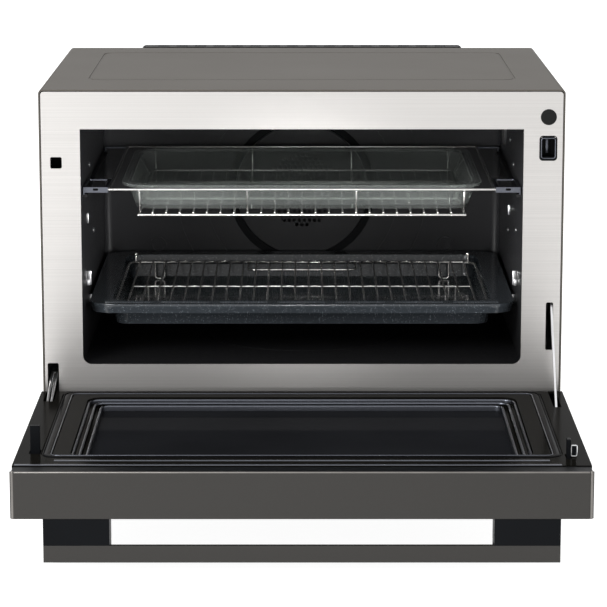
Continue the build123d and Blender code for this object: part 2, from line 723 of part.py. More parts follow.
def outer_sheet(x0, x1):
    """Flat outer sheet of the door between two X limits, drilled for the handle and hinge ears."""
    sheet = slab(x0, x1, RAIL_END, -DOOR_GAP, DOOR_OUTER, DOOR_BACK, 1.5)
    for pocket in ear_pockets():
        sheet -= pocket
    for x in BRACKET_SCREWS:
        sheet -= Pos(x, SCREW_Y, DOOR_OUTER) * Cylinder(SMALL_PIN_R, 3 * GLASS)
    return sheet


def control_fascia():
    """Control strip on the right of the door's outer face."""
    fascia = outer_sheet(FASCIA_X, HALF)
    x0, x1, y0, y1 = DISPLAY
    fascia -= slab(x0, x1, y0, y1, DOOR_OUTER - 1, DOOR_OUTER + 1.5, 3)
    fascia -= Pos(DIAL_X, DIAL_Y, DOOR_OUTER) * Cylinder(SHAFT_R + 1, 3 * GLASS)
    for y in BUTTON_Y:
        fascia -= Pos(DIAL_X, y, DOOR_OUTER) * extrude(RectangleRounded(BUTTON_W + 1, BUTTON_D + 1, 3.5),
                                                       amount=2 * GLASS, both=True)
    return fascia


def control_board():
    """Circuit board behind the control strip, with the dial's encoder body."""
    board = block(FASCIA_X + 8, HOUSING_X - 4, -276, -37, BOARD_Z, BOARD_Z + 1.6)
    board += block(DIAL_X - 9, DIAL_X + 9, DIAL_Y - 9, DIAL_Y + 9, BOARD_Z - 2, BOARD_Z + 8)
    board += block(DISPLAY[0], DISPLAY[1], DISPLAY[2], DISPLAY[3], DOOR_BACK, BOARD_Z)
    return board - Pos(DIAL_X, DIAL_Y, BOARD_Z) * Cylinder(SHAFT_R + RUNNING_GAP, 14)


def control_housing():
    """Black box that closes the control board off from the window."""
    box = block(FASCIA_X + 1, HOUSING_X, -298, -33, DOOR_BACK, HOUSING_TOP)
    return box - block(FASCIA_X + 1 + SHEET, HOUSING_X - SHEET, -298 + SHEET, -33 - SHEET, DOOR_BACK - 1,
                       HOUSING_TOP - SHEET)


def control_dial():
    """Knob with its shaft."""
    knob = Pos(DIAL_X, DIAL_Y, DOOR_OUTER - 7.4) * Cylinder(DIAL_R, 14)
    knob = fillet(knob.edges().group_by(Axis.Z)[0], 2)
    knob -= block(DIAL_X - 1, DIAL_X + 1, DIAL_Y - DIAL_R - 1, DIAL_Y - 8, 0, DOOR_OUTER - 13.8)
    stem = Pos(DIAL_X, DIAL_Y, (DOOR_OUTER + BOARD_Z + 5) / 2 - 0.4)
    return knob + stem * Cylinder(SHAFT_R, BOARD_Z + 5 - DOOR_OUTER)


def button(y):
    """Push button with a short stem."""
    cap = slab(DIAL_X - BUTTON_W / 2, DIAL_X + BUTTON_W / 2, y - BUTTON_D / 2, y + BUTTON_D / 2,
               DOOR_OUTER - 1, DOOR_BACK - 1.5, 3)
    cap = fillet(cap.edges().group_by(Axis.Z)[0], 0.6)
    return cap + Pos(DIAL_X, y, (DOOR_BACK + 55.5) / 2 - 0.8) * Cylinder(2, 55.5 - DOOR_BACK + 1.4)


def door_top_rail():
    """Black rail along the free edge of the door."""
    rail = block(-HALF + 0.5, HALF - 0.5, RAIL_END, PAN_END, DOOR_BACK, DOOR_FACE - 0.8)
    return rail - block(-HALF + 3.5, HALF - 3.5, RAIL_END + 3, PAN_END - 2, DOOR_BACK - 1, DOOR_FACE - 4)


def door_top_trim():
    """Metal band along the free edge, bevelled at both ends."""
    band = block(-HALF, HALF, -DOOR_REACH, RAIL_END, DOOR_OUTER, DOOR_FACE)
    ends = band.edges().filter_by(Axis.Z).group_by(Axis.Y)[0]
    band = chamfer(ends, 2, 4.3)
    return chamfer(band.edges().group_by(Axis.Z)[-1].filter_by(Axis.X).group_by(Axis.Y)[0], 0.9)


def hinge_blocks():
    """Bearing blocks inside the door, one each side of each ear."""
    outline = Polygon((-31, 61), (-9, 61), (-9, 84.5), (HINGE_Y, 84.5), (HINGE_Y, DOOR_FACE - DOOR_SHELL),
                      (-31, DOOR_FACE - DOOR_SHELL), align=None)
    outline -= Pos(HINGE_Y, HINGE_Z) * Circle(PIN_R + RUNNING_GAP)
    near = profile(outline, EAR_X - 7.5, EAR_X - EAR_POCKET - 0.4)
    far = profile(outline, EAR_X + EAR_T + EAR_POCKET + 0.4, EAR_X + EAR_T + 7.5)
    return [near, far, mirror(near, about=Plane.YZ), mirror(far, about=Plane.YZ)]


PIVOTS = (
    (ARM_X, 5.0, ARM_PIVOT_Y, ARM_PIVOT_Z),
    (FORK_X, 5.3, FORK_PIVOT_Y, FORK_PIVOT_Z),
    (LATCH_L_X, 6.0, LATCH_L_Y, LATCH_PIVOT_Z),
    (LATCH_R_X, 3.4, LATCH_R_Y, LATCH_PIVOT_Z),
)
CHEEK = 1.5


def linkage_brackets():
    """Pairs of cheeks that hang from the pan and carry the arm and latch pivots."""
    cheeks = []
    under = DOOR_FACE - DOOR_SHELL
    for x, half, y, z in PIVOTS:
        for side in (-1, 1):
            inner = x + side * half
            outer = inner + side * CHEEK
            x0 = min(inner, outer)
            x1 = max(inner, outer)
            plate = block(x0, x1, y - 7, y + 7, z - 7, under)
            cheeks.append(plate - disc_x(y, z, SMALL_PIN_R, x0 - 1, x1 + 1))
    return cheeks


def linkage_pins():
    """Pivot pins of the two arms and the two latch hooks."""
    pins = []
    for x, half, y, z in PIVOTS:
        pins.append(disc_x(y, z, SMALL_PIN_R, x - half - CHEEK, x + half + CHEEK))
    return pins


def arm_local(outline, x0, x1, y, z, angle):
    """Arm outline drawn from its pivot along +Y, then tipped up and set on the pivot."""
    return Pos(0, y, z) * Rotation(angle, 0, 0) * profile(outline, x0, x1)


def door_arm_right():
    """Flat link that guides the door, hinged in the door and running through the face plate."""
    outline = Pos(ARM_LENGTH / 2, 0) * Rectangle(ARM_LENGTH, 5) + Circle(5)
    outline += Pos(ARM_LENGTH, 0) * Circle(2.5)
    outline -= Circle(SMALL_PIN_R + RUNNING_GAP)
    return arm_local(outline, ARM_X - ARM_T / 2, ARM_X + ARM_T / 2, ARM_PIVOT_Y, ARM_PIVOT_Z, ARM_ANGLE)


def door_arm_left():
    """Two-rod link on the left side of the door."""
    eye = Circle(4.5) - Circle(SMALL_PIN_R + RUNNING_GAP)
    link = profile(eye, FORK_X - 3.2, FORK_X + 3.2)
    for x in (FORK_X - 1.9, FORK_X + 1.9):
        link += rod((x, 3.2, 0), (x, FORK_LENGTH, 0), 1.25)
    link += rod((FORK_X - 3, FORK_LENGTH, 0), (FORK_X + 3, FORK_LENGTH, 0), 1.25)
    return Pos(0, FORK_PIVOT_Y, FORK_PIVOT_Z) * Rotation(FORK_ANGLE, 0, 0) * link


LOOP_X = (233.9, 240.0)
LOOP_Z = (1.0, 10.5)


def latch_hook(x, y, width, depth, height):
    """Latch hook: an eye on the pivot and a post that stands out of the inner face."""
    top = DOOR_FACE + height
    post = profile(Polygon((y - depth / 2, LATCH_PIVOT_Z), (y + depth / 2, LATCH_PIVOT_Z),
                           (y + depth / 2, top - 1), (y + depth / 2 - 1, top), (y - depth / 2, top),
                           align=None), x - width / 2, x + width / 2)
    post += disc_x(y, LATCH_PIVOT_Z, 5.5, x - width / 2, x + width / 2)
    return post - disc_x(y, LATCH_PIVOT_Z, SMALL_PIN_R + RUNNING_GAP, x - width, x + width)


def latch_hook_right():
    """Right hook, with a sheet loop beside the post that steadies it in the socket."""
    hook = latch_hook(LATCH_R_X, LATCH_R_Y, 3.6, 9.0, 16.0)
    low, high = LOOP_Z
    return hook + block(LOOP_X[0], LOOP_X[1], LATCH_R_Y - 3, LATCH_R_Y + 3, DOOR_FACE + low, DOOR_FACE + high)


def handle_bracket():
    """Black arm between the door and the bar."""
    arm = block(HANDLE_X0, HANDLE_X1, -DOOR_REACH, HANDLE_BACK, HANDLE_TOP, DOOR_OUTER)
    for x in BRACKET_SCREWS[2:]:
        arm -= Pos(x, SCREW_Y, DOOR_OUTER) * Cylinder(SMALL_PIN_R, 30)
    return arm


def handle_bar():
    """Metal cap of the bar: the face along the door's free edge and the outer face."""
    outline = Polygon((-DOOR_REACH, HANDLE_TOP), (-DOOR_REACH, HANDLE_LOW), (-298, HANDLE_LOW),
                      (-298, HANDLE_LOW + 1.6), (-DOOR_REACH + 1.6, HANDLE_LOW + 1.6),
                      (-DOOR_REACH + 1.6, HANDLE_TOP), align=None)
    return profile(outline, -HANDLE_X1, HANDLE_X1)


def handle_bar_backing():
    """Black core of the bar, sloping away on the finger side."""
    outline = Polygon((-DOOR_REACH + 1.6, HANDLE_LOW + 1.6), (-298, HANDLE_LOW + 1.6), (-298, HANDLE_LOW + 4),
                      (-DOOR_REACH + 4, HANDLE_TOP), (-DOOR_REACH + 1.6, HANDLE_TOP), align=None)
    core = profile(outline, -HANDLE_X1 + 1, HANDLE_X1 - 1)
    for side in (-1, 1):
        x0 = min(side * HANDLE_X0, side * HANDLE_X1)
        x1 = max(side * HANDLE_X0, side * HANDLE_X1)
        core += block(max(x0, -HANDLE_X1 + 1), min(x1, HANDLE_X1 - 1), -DOOR_REACH + 1.6, -301,
                      HANDLE_LOW + 1.6, HANDLE_TOP)
    return core


def handle_screws():
    """Screws from inside the door into the handle brackets."""
    screw = pan_head(3.6, 2.2, SCREW_SHANK_R, 14, 0.9)
    return [Pos(x, SCREW_Y, DOOR_BACK) * screw for x in BRACKET_SCREWS]


# ======================================================================= shelves and cookware
def wire_loop(half, y0, y1, z, radius, corner):
    """Rounded rectangular wire frame lying flat."""
    outline = Pos(0, (y0 + y1) / 2, z) * RectangleRounded(2 * half, y1 - y0, corner)
    path = outline.wire()
    section = Plane(origin=path @ 0, z_dir=path % 0) * Circle(radius)
    return sweep(section, path=path)


DROP_X = (-156.0, -52.4, 52.4, 156.0)
DROP_TOP = 2.1
BASKET_WIRES = 23
BASKET_PITCH = 13.1
WIRE_END = 1.6
WELD_GAP = 0.05
CROSS_WIRES = (110.0, 218.0)
REAR_PEG_Y = 304.0
REAR_PEG_OUT = 209.0


def rack_frame():
    """Top frame of the hanging rack and the short wires that carry its basket."""
    pieces = []
    r = FRAME_WIRE
    low = BASKET_Z + FRAME_WIRE + 2 * THIN_WIRE + WELD_GAP * 4
    for y in (RACK_FRONT, RACK_BACK):
        pieces.append(rod((-RACK_HALF, y, RACK_Z), (RACK_HALF, y, RACK_Z), r))
    for side in (-1, 1):
        x = side * (RACK_HALF - r)
        pieces.append(rod((x, RACK_FRONT + r, RACK_Z), (x, RACK_BACK - r, RACK_Z), r))
    for x in DROP_X:
        for top_y, low_y in ((RACK_FRONT, BASKET_FRONT), (RACK_BACK, BASKET_BACK)):
            lean = 1.2 if top_y < low_y else -1.2
            pieces.append(rod((x, top_y + lean, RACK_Z - DROP_TOP), (x, low_y - lean, low), THIN_WIRE))
    return pieces


def rack_basket():
    """Flat wire floor of the hanging rack: a square frame with thin wires laid over it."""
    r = FRAME_WIRE
    wires = []
    for y in (BASKET_FRONT, BASKET_BACK):
        wires.append(rod((-BASKET_HALF, y, BASKET_Z), (BASKET_HALF, y, BASKET_Z), r))
    side = BASKET_HALF - r
    near = BASKET_FRONT + r + WELD_GAP
    far = BASKET_BACK - r - WELD_GAP
    for x in (-side, side):
        wires.append(rod((x, near, BASKET_Z), (x, far, BASKET_Z), r))
    inner = side - r - WELD_GAP
    for y in CROSS_WIRES:
        wires.append(rod((-inner, y, BASKET_Z), (inner, y, BASKET_Z), r))
    last = BASKET_PITCH * (BASKET_WIRES - 1) / 2
    over = BASKET_Z + r + THIN_WIRE + WELD_GAP
    for x in spread(-last, last, BASKET_WIRES):
        wires.append(rod((x, BASKET_FRONT - WIRE_END, over), (x, BASKET_BACK + WIRE_END, over), THIN_WIRE))
    return wires


CLIP_OUT = 209.8
CLIP_SHEET = 1.2
CLIP_LENGTH = 56.0
CLIP_TOP = 284.2
CLIP_BOTTOM = 279.0
CLIP_BORDER = 2.6


def shelf_brackets():
    """Folded sheet clips at the rack's front corners and dark pegs at its rear, on the side rails."""
    clips = []
    bottom = SEATED_RACK + SHELF_GAP
    y0 = RACK_FRONT
    y1 = RACK_FRONT + CLIP_LENGTH
    for side in (-1, 1):
        clip = block(RACK_HALF, CLIP_OUT, y0, y1, CLIP_TOP - CLIP_SHEET, CLIP_TOP)
        clip -= slab(RACK_HALF + CLIP_BORDER, CLIP_OUT - CLIP_BORDER, y0 + 2 * CLIP_BORDER,
                     y1 - 2 * CLIP_BORDER, RACK_Z, HEIGHT, 2)
        clip += block(CLIP_OUT - CLIP_SHEET, CLIP_OUT, y0, y1, bottom, CLIP_TOP)
        clip += block(RACK_HALF, CLIP_OUT, y0, y0 + CLIP_SHEET, CLIP_BOTTOM, CLIP_TOP)
        hole = Pos((RACK_HALF + CLIP_OUT) / 2, RACK_Z) * RectangleRounded(5, 2.2, 1)
        clip -= panel(hole, y0 - 1, y0 + CLIP_SHEET + 1)
        clips.append(clip if side > 0 else mirror(clip, about=Plane.YZ))
        outer = side * REAR_PEG_OUT
        peg = rod((side * (RACK_HALF + WELD_GAP), REAR_PEG_Y, RACK_Z), (outer, REAR_PEG_Y, RACK_Z), THIN_WIRE)
        peg += rod((outer - side, REAR_PEG_Y, bottom), (outer - side, REAR_PEG_Y, RACK_Z), THIN_WIRE)
        clips.append(peg)
    return clips


DISH_FLOOR = 258.6
DISH_RIM = 283.6
DISH_HALF_X = 175.0
DISH_Y0 = 32.0
DISH_Y1 = 292.0


def tapered_tub(half, y0, y1, z0, z1, corner, slope):
    """Rounded tub form that widens upward by slope on every side."""
    middle = (y0 + y1) / 2
    width = 2 * half
    depth = y1 - y0
    low = Pos(0, middle, z0) * RectangleRounded(width - 2 * slope, depth - 2 * slope, corner - slope)
    high = Pos(0, middle, z1) * RectangleRounded(width, depth, corner)
    return loft([low, high])


def glass_dish():
    """Rectangular glass baking dish with a flared rim."""
    lip = 4.5
    wall = 4.0
    half = DISH_HALF_X - lip
    y0 = DISH_Y0 + lip
    y1 = DISH_Y1 - lip
    dish = tapered_tub(half, y0, y1, DISH_FLOOR, DISH_RIM, 27, 9)
    dish += slab(-DISH_HALF_X, DISH_HALF_X, DISH_Y0, DISH_Y1, DISH_RIM - 3, DISH_RIM, 30)
    return dish - tapered_tub(half - wall, y0 + wall, y1 - wall, DISH_FLOOR + wall, DISH_RIM + 0.01, 23, 8)


def enamel_tray():
    """Enamelled baking tray: sloping pan, flat flange and turned-down lip."""
    half = TRAY_HALF - TRAY_FLANGE
    y0 = TRAY_FRONT + TRAY_FLANGE
    y1 = TRAY_BACK - TRAY_FLANGE
    tray = slab(-TRAY_HALF, TRAY_HALF, TRAY_FRONT, TRAY_BACK, TRAY_LIP, TRAY_RIM, 26)
    tray -= slab(-TRAY_HALF + TRAY_T, TRAY_HALF - TRAY_T, TRAY_FRONT + TRAY_T, TRAY_BACK - TRAY_T,
                 TRAY_LIP - 1, TRAY_RIM - TRAY_T, 26 - TRAY_T)
    tray += tapered_tub(half + TRAY_T, y0 - TRAY_T, y1 + TRAY_T, TRAY_BASE, TRAY_RIM, 18, TRAY_SLOPE)
    return tray - tapered_tub(half, y0, y1, TRAY_BASE + TRAY_T, TRAY_RIM + 0.01, 16.6, TRAY_SLOPE - 0.3)


TRIVET_WIRES = 26
TRIVET_PITCH = 13.6
TRIVET_THICK = 1.5
TRIVET_THIN = 1.0
TRIVET_CORNER = 14.0
LOOP_HALF = 56.0
LOOP_FRONT = 226.0
CROSS_Y = 134.0
CROSS_HALF = 169.0
LEG_X = 150.0
LEG_HALF = 5.0


def wire_trivet():
    """Flat wire grille that stands in the tray."""
    grille = wire_loop(TRIVET_HALF, TRIVET_FRONT, TRIVET_BACK, TRIVET_Z, TRIVET_THICK, TRIVET_CORNER)
    last = TRIVET_PITCH * (TRIVET_WIRES - 1) / 2
    upper = TRIVET_Z + 1.6
    for x in spread(-last, last, TRIVET_WIRES):
        grille += rod((x, TRIVET_FRONT - 0.5, upper), (x, TRIVET_BACK + 0.5, upper), TRIVET_THIN)
    grille += rod((-CROSS_HALF, CROSS_Y, TRIVET_Z), (CROSS_HALF, CROSS_Y, TRIVET_Z), TRIVET_THIN)
    loop = [(-LOOP_HALF, TRIVET_BACK, TRIVET_Z), (-LOOP_HALF, LOOP_FRONT, TRIVET_Z),
            (LOOP_HALF, LOOP_FRONT, TRIVET_Z), (LOOP_HALF, TRIVET_BACK, TRIVET_Z)]
    return grille + bent_tube(loop, 8, TRIVET_THIN)


def trivet_feet():
    """U-shaped wire legs under the grille's cross wire and rear wire."""
    legs = []
    floor = TRAY_BASE + TRAY_T + TRIVET_THIN + 0.1
    for y, radius in ((CROSS_Y, TRIVET_THIN), (TRIVET_BACK, TRIVET_THICK)):
        top = TRIVET_Z - radius
        for x in (-LEG_X, LEG_X):
            points = [(x - LEG_HALF, y, top), (x - LEG_HALF, y, floor),
                      (x + LEG_HALF, y, floor), (x + LEG_HALF, y, top)]
            legs.append(bent_tube(points, 3, TRIVET_THIN))
    return legs


# ======================================================================= assembly
def many(pieces):
    """Separate solids kept together in one node."""
    return Compound(children=list(pieces))


save("outer_cabinet", outer_cabinet())
save("front_frame", front_frame())
save("cavity_liner", cavity_liner())
save("side_rails", many(side_rails()))
save("fan_cover", fan_cover())
save("fan_housing", fan_housing())
save("fan_motor", fan_motor())
save("convection_fan", convection_fan())
save("fan_shaft", disc_y(0, FAN_Z, SHAFT_R, FAN_FRONT + 2, 374))
save("ring_heater", ring_heater())
save("upper_heater", flat_heater(CAVITY_CEILING + SHEET + 8))
save("lower_heater", flat_heater(CAVITY_FLOOR - SHEET - 6))
save("insulation", insulation())
save("cavity_lamp", cavity_lamp())
save("lamp_lens", lamp_lens())
save("power_board", power_board())
save("base_plate", base_plate())
save("rear_panel", rear_panel())
save("rear_cover", rear_cover())
save("cord_inlet", cord_inlet())
save("cabinet_screws", many(cabinet_screws()))
save("feet", many(feet()))
save("latch_socket", latch_socket())
save("door_switch", door_switch())
save("bumper_plug", bumper_plug())
save("hinge_brackets", many(both_sides(hinge_bracket)))
save("hinge_pins", many(both_sides(hinge_pin)))
save("drip_tray", drip_tray())
save("door_inner_frame", door_inner_frame())
save("door_seal", door_seal())
save("door_inner_glass", door_inner_glass())
save("door_outer_glass", outer_sheet(-HALF, FASCIA_X - 0.5))
save("control_fascia", control_fascia())
save("display_window", slab(DISPLAY[0] + 0.2, DISPLAY[1] - 0.2, DISPLAY[2] + 0.2, DISPLAY[3] - 0.2,
                            DOOR_OUTER, DOOR_OUTER + 1.5, 2.8))
save("control_board", control_board())
save("control_housing", control_housing())
save("control_dial", control_dial())
for number, place in enumerate(BUTTON_Y, start=1):
    save(f"button_{number}", button(place))
save("door_top_rail", door_top_rail())
save("door_top_trim", door_top_trim())
save("hinge_blocks", many(hinge_blocks()))
save("linkage_brackets", many(linkage_brackets()))
save("linkage_pins", many(linkage_pins()))
save("door_arm_right", door_arm_right())
save("door_arm_left", door_arm_left())
save("latch_hook_left", latch_hook(LATCH_L_X, LATCH_L_Y, 8.7, 4.0, 24.0))
save("latch_hook_right", latch_hook_right())
save("handle_brackets", many(both_sides(handle_bracket)))
save("handle_bar", handle_bar())
save("handle_bar_backing", handle_bar_backing())
save("handle_screws", many(handle_screws()))
save("rack_frame", many(rack_frame()))
save("rack_basket", many(rack_basket()))
save("shelf_brackets", many(shelf_brackets()))
save("glass_dish", glass_dish())
save("enamel_tray", enamel_tray())
save("wire_trivet", wire_trivet())
save("trivet_feet", many(trivet_feet()))

os.makedirs("parts", exist_ok=True)
for node, shape in NODES.items():
    export_step(shape, f"parts/{node}.step")
print(len(NODES), "nodes")
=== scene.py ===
"""Countertop oven with its door open: materials, light, camera and fine detail round the CAD frame."""
import json
import math

import bmesh
import bpy
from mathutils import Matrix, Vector


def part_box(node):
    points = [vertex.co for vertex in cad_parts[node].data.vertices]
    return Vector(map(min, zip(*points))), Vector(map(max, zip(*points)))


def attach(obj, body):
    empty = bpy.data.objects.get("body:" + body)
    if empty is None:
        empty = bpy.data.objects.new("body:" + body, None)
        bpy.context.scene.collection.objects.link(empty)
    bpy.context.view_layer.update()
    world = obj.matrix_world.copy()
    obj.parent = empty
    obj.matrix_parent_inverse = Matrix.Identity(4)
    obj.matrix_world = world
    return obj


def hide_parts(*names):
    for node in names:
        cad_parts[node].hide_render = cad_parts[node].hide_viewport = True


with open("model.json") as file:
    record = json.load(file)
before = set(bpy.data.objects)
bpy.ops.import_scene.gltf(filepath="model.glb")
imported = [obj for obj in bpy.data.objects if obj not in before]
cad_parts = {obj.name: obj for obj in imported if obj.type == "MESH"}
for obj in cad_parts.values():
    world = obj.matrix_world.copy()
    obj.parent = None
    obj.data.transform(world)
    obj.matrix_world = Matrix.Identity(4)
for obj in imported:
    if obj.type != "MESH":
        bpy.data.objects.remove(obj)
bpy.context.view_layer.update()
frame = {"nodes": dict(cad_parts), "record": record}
NODES = frame["nodes"]
FACE_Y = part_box("front_frame")[0].y
MM = 0.001


# ---------------------------------------------------------------- camera, light and floor
CAMERA_DISTANCE = 2.655
CAMERA_HEIGHT = 0.698
CAMERA_SIDE = 0.0002
CAMERA_TILT = 0.1950
CAMERA_TURN = -0.0005
FOCAL_PX = 2816.3
IMAGE_PX = 607
SENSOR = 36.0
CLIP_END = 20.0
SPOT_SOURCE = 0.08
FLOOR_REACH = 6.0
FLOOR_GREY = 0.4
FLOOR_GLOW = 0.94


def make_camera():
    """Long lens, level horizon, looking down a little at the open oven."""
    data = bpy.data.cameras.new("camera")
    data.sensor_width = SENSOR
    data.lens = FOCAL_PX / IMAGE_PX * SENSOR
    data.clip_end = CLIP_END
    camera = bpy.data.objects.new("camera", data)
    camera.location = (CAMERA_SIDE, FACE_Y - CAMERA_DISTANCE, CAMERA_HEIGHT)
    camera.rotation_euler = (math.pi / 2 - CAMERA_TILT, 0, CAMERA_TURN)
    bpy.context.scene.collection.objects.link(camera)
    bpy.context.scene.camera = camera


def hang_lamp(data, place, target):
    """Puts a lamp at a place and aims it at a point."""
    lamp = bpy.data.objects.new(data.name, data)
    lamp.location = place
    aim = Vector(target) - Vector(place)
    lamp.rotation_euler = aim.to_track_quat("-Z", "Y").to_euler()
    bpy.context.scene.collection.objects.link(lamp)


def softbox(name, place, target, size, power):
    """Soft rectangular light aimed at a point."""
    data = bpy.data.lights.new(name, "AREA")
    data.shape = "RECTANGLE"
    data.size, data.size_y = size
    data.energy = power
    hang_lamp(data, place, target)


def spot(name, place, target, angle, power):
    """Narrow soft spot aimed at a point."""
    data = bpy.data.lights.new(name, "SPOT")
    data.spot_size = math.radians(angle)
    data.spot_blend = 1.0
    data.shadow_soft_size = SPOT_SOURCE
    data.energy = power
    hang_lamp(data, place, target)


def make_surroundings():
    """Even white world."""
    world = bpy.data.worlds.new("studio")
    bpy.context.scene.world = world
    world.use_nodes = True
    back = world.node_tree.nodes["Background"]
    back.inputs["Color"].default_value = (1, 1, 1, 1)
    back.inputs["Strength"].default_value = 1.0
    bpy.context.scene.view_settings.view_transform = "Standard"


def make_lights():
    """Softboxes, strongest on the left, and three spots that reach into the chamber."""
    softbox("key", place=(-1.2, -1.9, 1.35), target=(0, 0, 0.3), size=(0.9, 1.0), power=41)
    softbox("fill", place=(1.6, -1.6, 1.5), target=(0, 0, 0.2), size=(0.8, 0.8), power=1.5)
    softbox("top", place=(0, 0.3, 2.2), target=(0, 0.1, 0.3), size=(1.6, 0.8), power=4)
    softbox("strip", place=(0, -2.4, 2.3), target=(0, 0, 0.2), size=(3.2, 0.35), power=5)
    spot("left_wall", place=(0.45, -1.2, 0.3), target=(-0.21, 0.1, 0.25), angle=12, power=56)
    spot("right_wall", place=(-0.45, -1.2, 0.3), target=(0.21, 0.1, 0.25), angle=12, power=49)
    spot("rear_wall", place=(0, -2.0, 0.24), target=(0, 0.3, 0.225), angle=6.5, power=22)


def make_floor():
    """Pale floor that glows a little."""
    mesh = bpy.data.meshes.new("floor")
    corners = [(-FLOOR_REACH, -FLOOR_REACH, 0), (FLOOR_REACH, -FLOOR_REACH, 0),
               (FLOOR_REACH, FLOOR_REACH, 0), (-FLOOR_REACH, FLOOR_REACH, 0)]
    mesh.from_pydata(corners, [], [(0, 1, 2, 3)])
    floor = bpy.data.objects.new("floor", mesh)
    bpy.context.scene.collection.objects.link(floor)
    paint = Paint("studio_floor", (FLOOR_GREY, FLOOR_GREY, FLOOR_GREY), roughness=0.9,
                  Emission_Color=(1, 1, 1, 1), Emission_Strength=FLOOR_GLOW)
    floor.data.materials.append(paint.material)


# ---------------------------------------------------------------- material helpers
class Paint:
    """A Principled material under construction, with short calls for the nodes that it needs."""

    def __init__(self, name, colour, metallic=0.0, roughness=0.5, **sockets):
        self.material = bpy.data.materials.new(name)
        self.material.use_nodes = True
        self.tree = self.material.node_tree
        self.shader = self.tree.nodes["Principled BSDF"]
        self.base = colour
        self.sheen = roughness
        self.shader.inputs["Base Color"].default_value = (*colour, 1)
        self.shader.inputs["Metallic"].default_value = metallic
        self.shader.inputs["Roughness"].default_value = roughness
        for key, value in sockets.items():
            self.shader.inputs[key.replace("_", " ")].default_value = value
        self.place = self.node("ShaderNodeTexCoord").outputs["Object"]

    def node(self, kind, **values):
        """New node; values set its inputs by name."""
        made = self.tree.nodes.new(kind)
        for key, value in values.items():
            made.inputs[key].default_value = value
        return made

    def link(self, source, target):
        """Joins an output to an input."""
        self.tree.links.new(source, target)

    def stretched(self, scale):
        """Object coordinates scaled per axis."""
        mapping = self.node("ShaderNodeMapping", Scale=scale)
        self.link(self.place, mapping.inputs["Vector"])
        return mapping.outputs["Vector"]

    def noise(self, scale, detail=3.0, stretch=None, rough=0.5):
        """Noise value over the object."""
        made = self.node("ShaderNodeTexNoise", Scale=scale, Detail=detail, Roughness=rough)
        self.link(self.stretched(stretch) if stretch else self.place, made.inputs["Vector"])
        return made.outputs["Fac"]

    def ramp(self, source, stops):
        """Colour ramp over a value."""
        made = self.node("ShaderNodeValToRGB")
        for mark, (place, colour) in zip(made.color_ramp.elements, stops):
            mark.position = place
            mark.color = (*colour, 1)
        self.link(source, made.inputs["Fac"])
        return made.outputs["Color"]

    def spread(self, source, low, high, start=0.0, stop=1.0):
        """Maps start to stop of a value onto low to high."""
        made = self.node("ShaderNodeMapRange")
        made.inputs["From Min"].default_value = start
        made.inputs["From Max"].default_value = stop
        made.inputs["To Min"].default_value = low
        made.inputs["To Max"].default_value = high
        self.link(source, made.inputs["Value"])
        return made.outputs["Result"]

    def blend(self, source, stops):
        """Base colour from a ramp over a value."""
        self.link(self.ramp(source, stops), self.shader.inputs["Base Color"])

    def mottle(self, source, darker, lighter, start=0.3, stop=0.7):
        """Base colour that wanders between a darker and a lighter share of itself."""
        self.blend(source, [(start, shade(self.base, darker)), (stop, shade(self.base, lighter))])

    def wander(self, source, below, above):
        """Roughness that wanders a little below and above its own value."""
        value = self.spread(source, self.sheen - below, self.sheen + above)
        self.link(value, self.shader.inputs["Roughness"])

    def bump(self, source, depth, strength=1.0):
        """Adds a bump of a depth in metres."""
        made = self.node("ShaderNodeBump", Strength=strength, Distance=depth)
        self.link(source, made.inputs["Height"])
        self.link(made.outputs["Normal"], self.shader.inputs["Normal"])

    def tangent(self, axis):
        """Radial tangent for brushed metal."""
        made = self.node("ShaderNodeTangent")
        made.direction_type = "RADIAL"
        made.axis = axis
        self.link(made.outputs["Tangent"], self.shader.inputs["Tangent"])


def shade(colour, factor):
    """Colour made lighter or darker."""
    return tuple(min(1.0, c * factor) for c in colour)


# ---------------------------------------------------------------- materials
def brushed_metal(name, colour, across, roughness):
    """Directional brushing: fine scratches run along the axis that is stretched least."""
    paint = Paint(name, colour, metallic=1.0, roughness=roughness, Anisotropic=0.6, Anisotropic_Rotation=0.25)
    paint.tangent("Z")
    fine = paint.noise(1.0, detail=4.0, stretch=across, rough=0.65)
    paint.mottle(fine, 0.9, 1.08)
    paint.wander(paint.noise(2.5, detail=2.0), 0.04, 0.05)
    paint.bump(fine, 0.00002, strength=0.5)
    return paint.material


def baked_paint(name, colour, roughness, metallic=0.0, ior=1.3):
    """Satin baked paint with fine metal flake and a little orange peel."""
    paint = Paint(name, colour, metallic=metallic, roughness=roughness, IOR=ior)
    paint.mottle(paint.noise(2600, detail=2.0), 0.9, 1.1, start=0.35, stop=0.65)
    paint.wander(paint.noise(5), 0.04, 0.06)
    paint.bump(paint.noise(420, detail=2.0), 0.00003, strength=0.35)
    return paint.material


def moulded_plastic(name, colour, roughness, grain=900, depth=0.00004, ior=1.25):
    """Moulded plastic with an eroded grain."""
    paint = Paint(name, colour, roughness=roughness, IOR=ior)
    paint.mottle(paint.noise(14), 0.88, 1.14)
    paint.wander(paint.noise(60), 0.06, 0.06)
    paint.bump(paint.noise(grain), depth, strength=0.5)
    return paint.material


def gloss_enamel(name, colour, roughness, waviness=1.0, ior=1.3):
    """Gloss coat over dark sheet, with a slight wave and fine dust."""
    paint = Paint(name, colour, roughness=roughness, IOR=ior)
    paint.mottle(paint.noise(9, detail=4.0), 0.9, 1.12)
    paint.wander(paint.noise(240, detail=4.0), 0.03, 0.08)
    paint.bump(paint.noise(18, detail=2.0), 0.0002 * waviness, strength=0.25)
    return paint.material


